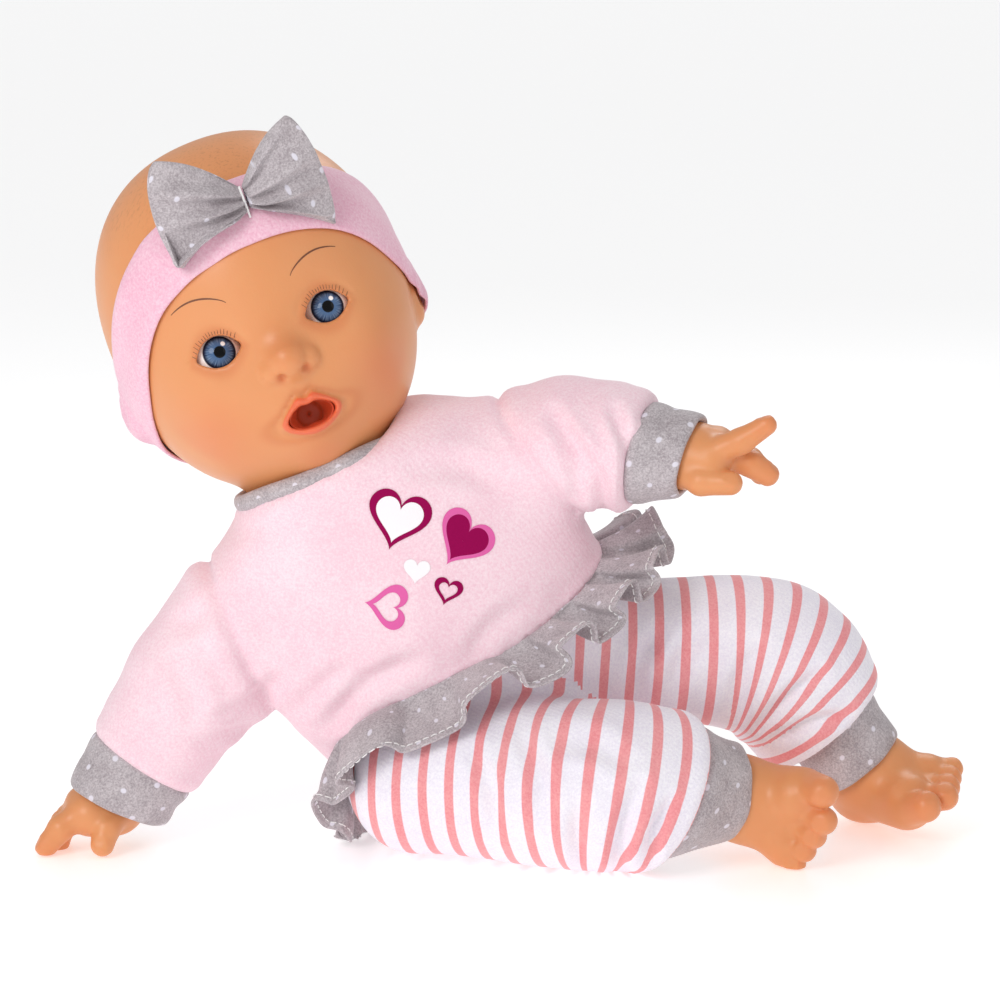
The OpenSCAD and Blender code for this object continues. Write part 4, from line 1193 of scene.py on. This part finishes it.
def build_cuff(name, body, dot_shift):
    c = CUFFS[name]
    n = 72
    phi = np.linspace(0, 2 * np.pi, n, endpoint=False)
    length = np.linalg.norm(c.rim_at - c.seam_at)
    # Share of the way from seam to rim, and how far the cloth stands off the straight cone
    profile = [(-0.11, -0.9), (-0.08, 0.5), (-0.02, 1.1), (0.2, 0.9), (0.38, 0.2), (0.55, 0.5), (0.75, 0.8),
               (0.92, 0.75), (1.0, 0.35), (1.02, -0.5), (0.98, -1.2), (0.85, -1.5), (0.6, -1.7)]
    rows, coords = [], []
    for t, off in profile:
        centre = c.seam_at + (c.rim_at - c.seam_at) * t
        normal = unit(c.seam_n + (c.rim_n - c.seam_n) * np.clip(t, 0, 1))
        ring = z_axes(centre, normal)
        r = c.seam_r + (c.rim_r - c.seam_r) * smooth_step(-0.1, 1.1, t) + off
        wave = 0.35 * np.sin(3 * phi + 5 * t) + 0.3 * np.sin(7 * phi + 9 * t + dot_shift)
        wave = wave * (0.2 + 0.8 * np.clip(t, 0, 1))
        local = np.stack([(r + wave) * np.cos(phi), (r + wave) * np.sin(phi), 0 * phi], -1)
        rows.append(ring.out(local))
        coords.append(np.stack([phi * (c.seam_r + c.rim_r) / 2 + dot_shift, np.full(n, t * length)], -1))
    grid, uv = np.array(rows), np.array(coords)
    around = np.pi * (c.seam_r + c.rim_r)
    around_cells = round(around / DOT_PITCH) * DOT_PITCH
    uv[..., 0] = (uv[..., 0] - dot_shift) * around_cells / around + dot_shift
    grid[..., 2] = np.maximum(grid[..., 2], 0.3)
    piece = grid_object(name + "_cuff_knit", grid, uv, (around_cells, 0.0), 0.9)
    subdivide(piece)
    finish_piece(piece, "grey_dot_jersey", body, [name + "_cuff"])


def build_binding():
    """The bound neckline, a soft roll with dots."""
    n = 120
    a = np.linspace(0, 2 * np.pi, n, endpoint=False)
    b = np.linspace(0, 2 * np.pi, 16, endpoint=False)
    A, B = np.meshgrid(a, b, indexing="ij")
    r = 31.9 + 2.3 * np.cos(B) + 0.2 * np.sin(9 * A)
    z = 1.2 + 3.2 * np.sin(B) + 0.25 * np.sin(5 * A + 1)
    grid = np.stack([r * np.cos(A), r * np.sin(A), z], -1)
    uv = np.stack([B * 3.0, A * 32.2], -1)
    grid, uv = grid.transpose(1, 0, 2), uv.transpose(1, 0, 2)
    closed = np.concatenate([grid, grid[:1]])
    uv = np.concatenate([uv, uv[:1] + (2 * np.pi * 3.0, 0)])
    piece = grid_object("neck_binding_roll", HEAD.out(closed), uv, (0.0, 2 * np.pi * 32.2))
    finish_piece(piece, "grey_dot_jersey", "torso", ["neck_binding"])


RUFFLE_WAVES = 15
RUFFLE_WIDTH = 25.5
# The height on the torso at which the frill's seam takes its width and depth
RUFFLE_SEAM = 38.0


def cloth_outside(p, clearance, rounds=5):
    """Moves points out of the leggings until they are clear of them."""
    for _ in range(rounds):
        f = leggings_field(p)
        step = 0.8
        grad = np.stack([leggings_field(p + d) - leggings_field(p - d) for d in np.eye(3) * step], -1)
        grad /= 2 * step
        grad /= np.maximum(np.linalg.norm(grad, axis=-1), 1e-6)[..., None]
        p = p + grad * np.clip(clearance - f, 0, 6)[..., None]
    return p


def build_ruffle():
    """A gathered frill: first the smooth sheet that it follows, then folds that stand on that sheet."""
    n, m = RUFFLE_WAVES * 32, 19
    a = np.linspace(0, 2 * np.pi, n, endpoint=False)
    t = np.linspace(0, 1, m)
    A, T = np.meshgrid(a, t, indexing="ij")
    left_side = np.maximum(np.cos(A - 0.15), 0) ** 2
    front_side = np.maximum(-np.sin(A + 0.25), 0)
    right_side = np.maximum(-np.cos(A + 0.2), 0) ** 3
    lean = 0.30 + 0.75 * front_side + 0.78 * left_side + 0.15 * np.maximum(np.sin(A), 0) - 0.26 * right_side
    bend = lean * (0.8 + 0.3 * T)
    wide, deep = (np.interp(RUFFLE_SEAM, TORSO_STATIONS[:, 0], TORSO_STATIONS[:, k]) - 0.8 for k in (2, 3))
    out = RUFFLE_WIDTH * T * np.sin(bend)
    hem = hem_height(np.cos(A) * wide, np.sin(A) * deep)
    s = np.cos(A) * (wide + out)
    b = np.sin(A) * (deep + out)
    grid = TORSO.out(np.stack([s, b, hem + 1.0 - RUFFLE_WIDTH * T * np.cos(bend)], -1))
    grid = cloth_outside(grid, 1.2 + 1.2 * T)
    grid[..., 2] = np.maximum(grid[..., 2], 1.2)
    for _ in range(60):
        grid[:, 1:] = grid[:, 1:] / 2 + (np.roll(grid, 1, 0) + np.roll(grid, -1, 0))[:, 1:] / 4
    grid = cloth_outside(grid, 1.2 + 0.6 * T, 2)
    along_t = np.gradient(grid, axis=1)
    along_a = np.roll(grid, -1, 0) - np.roll(grid, 1, 0)
    normal = np.cross(along_a, along_t)
    normal /= np.linalg.norm(normal, axis=-1)[..., None]
    sideways = along_a / np.linalg.norm(along_a, axis=-1)[..., None]
    if (normal * (grid - TORSO.out((0, 0, RUFFLE_SEAM)))).sum() < 0:
        normal = -normal
    phase = RUFFLE_WAVES * A + 0.9 * np.sin(2 * A + 0.6) + 0.8 * np.sin(3 * A + 2)
    size = 1 + 0.22 * np.sin(5 * A + 1.1) + 0.18 * np.sin(8 * A)
    grow = (0.12 + 0.88 * T ** 0.75) * (1 - 0.45 * right_side)
    centre = 1 - 0.9 * left_side - 0.35 * right_side
    height = 5.9 * grow * size * (centre + np.sin(phase) + 0.10 * np.sin(3 * phase + 1))
    shift = -3.6 * grow * np.sin(2 * phase) + 2.4 * T * np.sin(4 * A + 1)
    grid = grid + normal * height[..., None] + sideways * shift[..., None]
    grid[..., 2] = np.maximum(grid[..., 2], 0.9)
    length = np.linalg.norm(np.roll(grid, -1, 0) - grid, axis=-1)
    along = np.concatenate([[0], np.cumsum(length[:, -1])])[:-1]
    total = length[:, -1].sum()
    scale = round(total / DOT_PITCH) * DOT_PITCH / total
    uv = np.stack([np.broadcast_to(along[:, None] * scale, A.shape), T * RUFFLE_WIDTH], -1)
    piece = grid_object("hem_ruffle_frill", grid.transpose(1, 0, 2), uv.transpose(1, 0, 2),
                        (total * scale, 0.0), 1.1)
    subdivide(piece)
    finish_piece(piece, "grey_dot_jersey", "torso", ["hem_ruffle"])
    return grid


def build_topstitch(grid):
    """White running stitch just inside the frill's free edge."""
    line = grid[:, -3]
    tangent_t = grid[:, -1] - grid[:, -3]
    tangent_a = np.roll(line, -1, 0) - np.roll(line, 1, 0)
    normal = np.cross(tangent_a, tangent_t)
    normal /= np.linalg.norm(normal, axis=1)[:, None]
    step = np.linalg.norm(np.roll(line, -1, 0) - line, axis=1)
    s = np.concatenate([[0], np.cumsum(step)])
    closed = np.concatenate([line, line[:1]])
    normals = np.concatenate([normal, normal[:1]])
    points, quads = [], []
    pitch, stitch, r = 3.1, 2.3, 0.24
    for k in range(int(s[-1] / pitch)):
        at = k * pitch + np.linspace(0, stitch, 4)
        p = np.stack([np.interp(at, s, closed[:, j]) for j in range(3)], -1)
        nn = np.stack([np.interp(at, s, normals[:, j]) for j in range(3)], -1)
        nn /= np.linalg.norm(nn, axis=1)[:, None]
        side = np.cross(np.gradient(p, axis=0), nn)
        side /= np.linalg.norm(side, axis=1)[:, None]
        arch = np.array([0.0, 0.22, 0.22, 0.0])[:, None]
        for face in (1, -1):
            ring = []
            for angle in np.linspace(0, 2 * np.pi, 6, endpoint=False):
                ring.append(p + face * nn * (0.58 + arch + r * math.sin(angle)) + side * r * math.cos(angle))
            start = sum(len(x) for x in points)
            points.append(np.array(ring).transpose(1, 0, 2).reshape(-1, 3))
            quads.append(start + grid_quads(4, 6, True))
    piece = quad_object("frill_topstitch", np.concatenate(points), np.concatenate(quads))
    finish_piece(piece, "white_trim", "torso")


# ---------------------------------------------------------------- printed hearts
# Height on the torso, place to its left, size, the heart's own up (height, side), its outline's colour,
# the share of the size at which the outline begins, and the filling's colour
HEARTS = [
    (96.0, 14.5, 23.1, (2.1, 2.7), "magenta", 0.76, "white"),
    (76.5, 28.5, 21.3, (1.0, 3.1), "pink", 0.80, "magenta"),
    (77.8, 9.5, 9.6, (2.5, 2.4), "white", 0.0, None),
    (74.0, -6.1, 16.7, (-2.4, 2.5), "pink", 0.64, None),
    (65.7, 14.1, 10.7, (2.1, 2.7), "magenta", 0.64, None),
]


def heart_outline(n):
    """A heart one unit wide, round its middle."""
    t = np.linspace(0, 2 * np.pi, n, endpoint=False)
    x = 16 * np.sin(t) ** 3
    y = 13 * np.cos(t) - 5 * np.cos(2 * t) - 2 * np.cos(3 * t) - np.cos(4 * t)
    return np.stack([x, y + 2.0], -1) / 33.0


def build_hearts(points, quads):
    """Hearts laid on the front of the top."""
    tree = BVHTree.FromPolygons((points * MM).tolist(), quads.tolist())
    back = Vector(TORSO.m[1])
    centre = 0.004

    def lay(u, s, lift):
        start = Vector(TORSO.out((s, -90, u)) * MM)
        hit, normal, _, _ = tree.ray_cast(start, back)
        return np.array(hit + normal * lift * MM) / MM

    def band(name, at, size, up, low, high, lift, look):
        up = unit(up)
        across = np.array([-up[1], up[0]])
        outline = heart_outline(80)
        shares = np.linspace(low, high, max(2, int(size * (high - low) / 1.4)))
        grid = []
        for share in shares:
            flat = outline * share * size
            rows = at + flat[:, :1] * across + flat[:, 1:] * up
            grid.append([lay(u, s, lift) for u, s in rows])
        grid = np.array(grid)
        uv = np.zeros(grid.shape[:2] + (2,))
        piece = grid_object(name, grid[::-1], uv, (0.0, 0.0))
        finish_piece(piece, "pink_jersey", "torso", material=HEART_LOOKS[look])

    for k, (u, s, size, up, edge, rim, inner) in enumerate(HEARTS, 1):
        at = np.array([u, s])
        if rim == 0.0:
            band(f"heart_{k}", at, size, up, centre, 1.0, 0.20, edge)
        else:
            band(f"heart_{k}_outline", at, size, up, rim, 1.0, 0.24, edge)
        if inner:
            band(f"heart_{k}_filling", at, size, up, centre, rim + 0.02, 0.18, inner)


# ---------------------------------------------------------------- hands and feet
class Hand:
    """Local y runs along the fingers and z out of the back of the hand; curl bends all but the forefinger."""

    def __init__(self, wrist, shoulder, fingers, back, side, curl):
        self.axes = zy_axes(wrist, back, fingers)
        self.side, self.curl = side, curl
        self.arm = unit(wrist - shoulder)
        self.wrist = wrist

    def field(self, p):
        s, curl = self.side, self.curl
        q = self.axes.into(p)
        f = rod(q, (0, 5, 0), (0, 12, 0), 10.3, 9.8)
        f = join(f, ball(q, (-7, 14, 0), 7.3), 5)
        f = join(f, ball(q, (7, 14, -1), 6.6), 5)
        f = join(f, rod(p, self.wrist - 10 * self.arm, self.wrist + 5 * self.arm, 11, 11), 6)
        # Dimples over the knuckles
        for k in range(4):
            knuckle = (s * (-7 + 4.8 * k), 16.5 - 1.2 * k, 9.6 - 0.4 * k)
            f = f + 0.7 * glow(np.linalg.norm(q - knuckle, axis=-1), 2.4)
        if curl:
            pointing = ((-s * 6.4, 15, 2.5), (-s * 7.0, 25, 6.5), (-s * 7.4, 34.5, 12), (5.2, 4.6, 3.5))
        else:
            pointing = ((-s * 6.8, 16, 1.5), (-s * 7.8, 25, 0), (-s * 7.8, 32.5, -4), (5.0, 4.7, 3.9))
        digits = [pointing]
        for k, (fx, fy, fz) in enumerate(((-1.6, 20, 9), (3.6, 18.6, 9), (8.2, 16.2, 8))):
            if curl:
                mid, tip = (s * fx, fy + 7.5, -4.0), (s * fx, fy + 12.5, -8.0 - 1.6 * k)
            else:
                mid, tip = (s * (fx + 0.6), fy + 5, -2.0), (s * (fx + 1.4), fy + 10, -fz)
            digits.append(((s * fx, fy - 3, 0.5), mid, tip, (5.0 - 0.25 * k, 4.7 - 0.25 * k, 4.1 - 0.25 * k)))
        thumb_tip = (-s * 13.5, 21, -6.5) if curl else (-s * 14.5, 14, -10)
        digits.append(((-s * 7.5, 5, -3.5), (-s * 12, 10.5, -6), thumb_tip, (5.6, 5.0, 4.3)))
        hand = None
        for a, b, c, (ra, rb, rc) in digits:
            finger = join(rod(q, a, b, ra, rb), rod(q, b, c, rb, rc), 1.2)
            hand = finger if hand is None else join(hand, finger, 0.5)
        f = join(f, hand, 1.8)
        # Nails: on the back of each finger, and on the outer side of the thumb, which is the last digit
        for k, (_, b, c, radii) in enumerate(digits):
            along = unit(np.array(c) - np.array(b))
            up = np.array([-s * 0.8, 0, 0.7]) if k == len(digits) - 1 else np.array([0, 0, 1.0])
            up = up - (up @ along) * along
            spot = np.array(c) + unit(up) * (radii[2] - 0.2) + along * 0.6
            d = np.linalg.norm(q - spot, axis=-1)
            f = f + 0.35 * glow(d, 1.5) - 0.28 * glow(d - 2.7, 0.7)
        return np.maximum(f, 0.4 - p[..., 2])


class Foot:
    """Local y runs to the toes and z out of the instep."""

    GROWTH = 1.12

    def __init__(self, ankle, knee, toes, inner, side, shift=(0, 0, 0)):
        self.along = unit(ankle - knee)
        self.axes = zy_axes(ankle + 4 * self.along + shift, side * np.cross(toes, inner), toes)
        self.side, self.ankle = side, ankle

    def field(self, p):
        s = self.side
        q = self.axes.into(p) / self.GROWTH
        f = rod(q, (0, 1, -6), (0, -3, -11), 12.0, 10.5)
        sole = rod(q, (0, -3, -11), (-s * 7, 19, -13), 10.5, 9.4)
        sole = join(sole, rod(q, (0, -3, -11), (s * 8, 16, -14), 10.5, 8.4), 5)
        f = join(f, join(sole, ball(q, (0, 5, -5), 11.5), 6), 6)
        stem = rod(p, self.ankle - 8 * self.along, self.ankle + 4 * self.along, 12.8, 13.4) / self.GROWTH
        f = join(f, stem, 5)
        # A fold in front of the ankle, and the hollow before the toes
        f = f + 1.0 * glow(np.linalg.norm((q - (0, 11.5, 3.5)) * (0.22, 1, 1), axis=-1), 1.7)
        toes = rod(q, (-s * 11, 22, -13.4), (-s * 12.4, 31, -11.4), 5.7, 5.2)
        for k in range(4):
            a = (s * (-3.6 + 5.6 * k), 24.0 - 2.1 * k, -14.0)
            b = (s * (-3.0 + 5.8 * k), 31.6 - 3.0 * k, -13.8 - 0.2 * k)
            toes = join(toes, rod(q, a, b, 4.7 - 0.25 * k, 4.5 - 0.25 * k), 0.4)
        f = join(f, toes, 1.5)
        # Nails, that of the big toe first
        for k in range(5):
            x, y, r = -3.0 + 5.8 * (k - 1), 33.8 - 3.0 * (k - 1), 4.3 - 0.25 * k
            if k == 0:
                x, y, r = -12.6, 33.4, 5.2
            spot = (s * x, y, -12.8 + r * 0.72)
            d = np.linalg.norm((q - spot) * (0.9, 1, 1), axis=-1)
            f = f + 0.35 * glow(d, 1.6) - 0.25 * glow(d - 2.6, 0.7)
        return np.maximum(f * self.GROWTH, 0.3 - p[..., 2])


RIGHT_HAND = Hand(R_WRIST, R_SHOULDER, (-0.92, -0.2, -0.3), (-0.37, -0.1, 0.92), 1, False)
LEFT_HAND = Hand(L_WRIST, L_SHOULDER, (0.97, -0.2, 0.15), (-0.1, -0.15, 0.98), -1, True)
RIGHT_FOOT = Foot(R_ANKLE, R_KNEE, (0.60, -0.79, -0.12), (0.18, 0, 0.98), 1, (-2, 0, -2.5))
LEFT_FOOT = Foot(L_ANKLE, L_KNEE, (0.70, -0.70, 0.18), (-0.78, -0.46, -0.42), -1, (0, 2, 4))


def build_limb_end(name, limb, at, body):
    """A hand or foot, with its rim tucked into the limb behind it."""
    points, quads = field_surface(limb.field, at - 48, at + 48, 0.75 * DETAIL, 1)
    points[:, 2] = np.maximum(points[:, 2], 0.2)
    reach = limb.axes.into(points)[:, 1]
    paint = {
        "lip": np.zeros(len(points)),
        "blush": 0.22 * smooth_step(26, 36, reach),
        "warm_tint_and_shade": 0.10 * smooth_step(12, 22, reach),
        "hair_groove_shade": np.zeros(len(points)),
    }
    piece = quad_object(name, points, quads, attributes=paint)
    finish_piece(piece, "vinyl_skin", body, [body])


# ---------------------------------------------------------------- parts kept from the design
def dress_kept_nodes():
    """Gives each moulded, metal and sewn part its slot's material."""
    for part in frame["record"]["subparts"]:
        node = frame["nodes"][part["node"]]
        node.data.materials.clear()
        node.data.materials.append(LOOKS[part["material_slot"]])


# ---------------------------------------------------------------- floor, light and camera
def build_floor():
    """A pale table top that reaches past every view."""
    n = 61
    x = np.linspace(-1, 1, n) ** 3 * 60000
    X, Y = np.meshgrid(x, x, indexing="ij")
    grid = np.stack([X, Y, 0 * X - 0.2], -1)
    floor = grid_object("pale_floor", grid.transpose(1, 0, 2), grid.transpose(1, 0, 2)[..., :2])
    look = Look("floor_card", 0.22, Specular_IOR_Level=0.35, Emission_Strength=0.42)
    look.shader.inputs["Emission Color"].default_value = (1, 1, 1, 1)
    grain = look.noise(look.place(), 600, 2)
    look.colour(look.mix(grain, srgb("F4F4F5"), srgb("F8F8F9")))
    look.bump(grain, 0.00002)
    floor.data.materials.append(look.material)


def area_light(name, at, target, size, watts):
    data = bpy.data.lights.new(name, "AREA")
    data.shape = "DISK"
    data.size = size
    data.energy = watts
    light = bpy.data.objects.new(name, data)
    light.location = at
    light.rotation_euler = (Vector(target) - Vector(at)).to_track_quat("-Z", "Y").to_euler()
    bpy.context.scene.collection.objects.link(light)


def build_studio():
    scene = bpy.context.scene
    scene.view_settings.view_transform = "Standard"
    world = bpy.data.worlds.new("studio")
    world.use_nodes = True
    sky = world.node_tree.nodes["Background"]
    sky.inputs["Color"].default_value = (1, 1, 1, 1)
    sky.inputs["Strength"].default_value = 0.52
    scene.world = world
    middle_of_doll = (0.0, 0.0, 0.12)
    area_light("key", (-0.75, -1.20, 0.80), middle_of_doll, 0.7, 9.0)
    area_light("fill", (0.95, -0.75, 0.75), middle_of_doll, 0.9, 1.2)
    area_light("rim", (0.3, 0.9, 0.9), middle_of_doll, 0.7, 3.0)
    data = bpy.data.cameras.new("camera")
    data.lens = 131.6
    # The floor reaches 60 m past the doll
    data.clip_end = 120
    camera = bpy.data.objects.new("camera", data)
    camera.location = (0.0, -1.2833, 0.3520)
    camera.rotation_euler = (math.radians(80), 0, 0)
    scene.collection.objects.link(camera)
    scene.camera = camera


# ---------------------------------------------------------------- the doll
build_studio()
build_floor()
dress_kept_nodes()

build_head()
build_eye(-1, "right_eye_ball")
build_eye(1, "left_eye_ball")
build_mouth()
build_face_paint()
build_headband()
build_bow()

build_binding()
top = build_top()
build_hearts(*top)
build_leggings()
build_gusset()
build_topstitch(build_ruffle())
build_cuff("right_sleeve", "right_arm", 3.0)
build_cuff("left_sleeve", "left_arm", 6.0)
build_cuff("right_legging", "right_shin", 9.0)
build_cuff("left_legging", "left_shin", 1.0)

for name, limb, at in (
    ("right_hand", RIGHT_HAND, R_WRIST),
    ("left_hand", LEFT_HAND, L_WRIST),
    ("right_foot", RIGHT_FOOT, R_ANKLE),
    ("left_foot", LEFT_FOOT, L_ANKLE),
):
    build_limb_end(name + "_skin", limb, at, name)
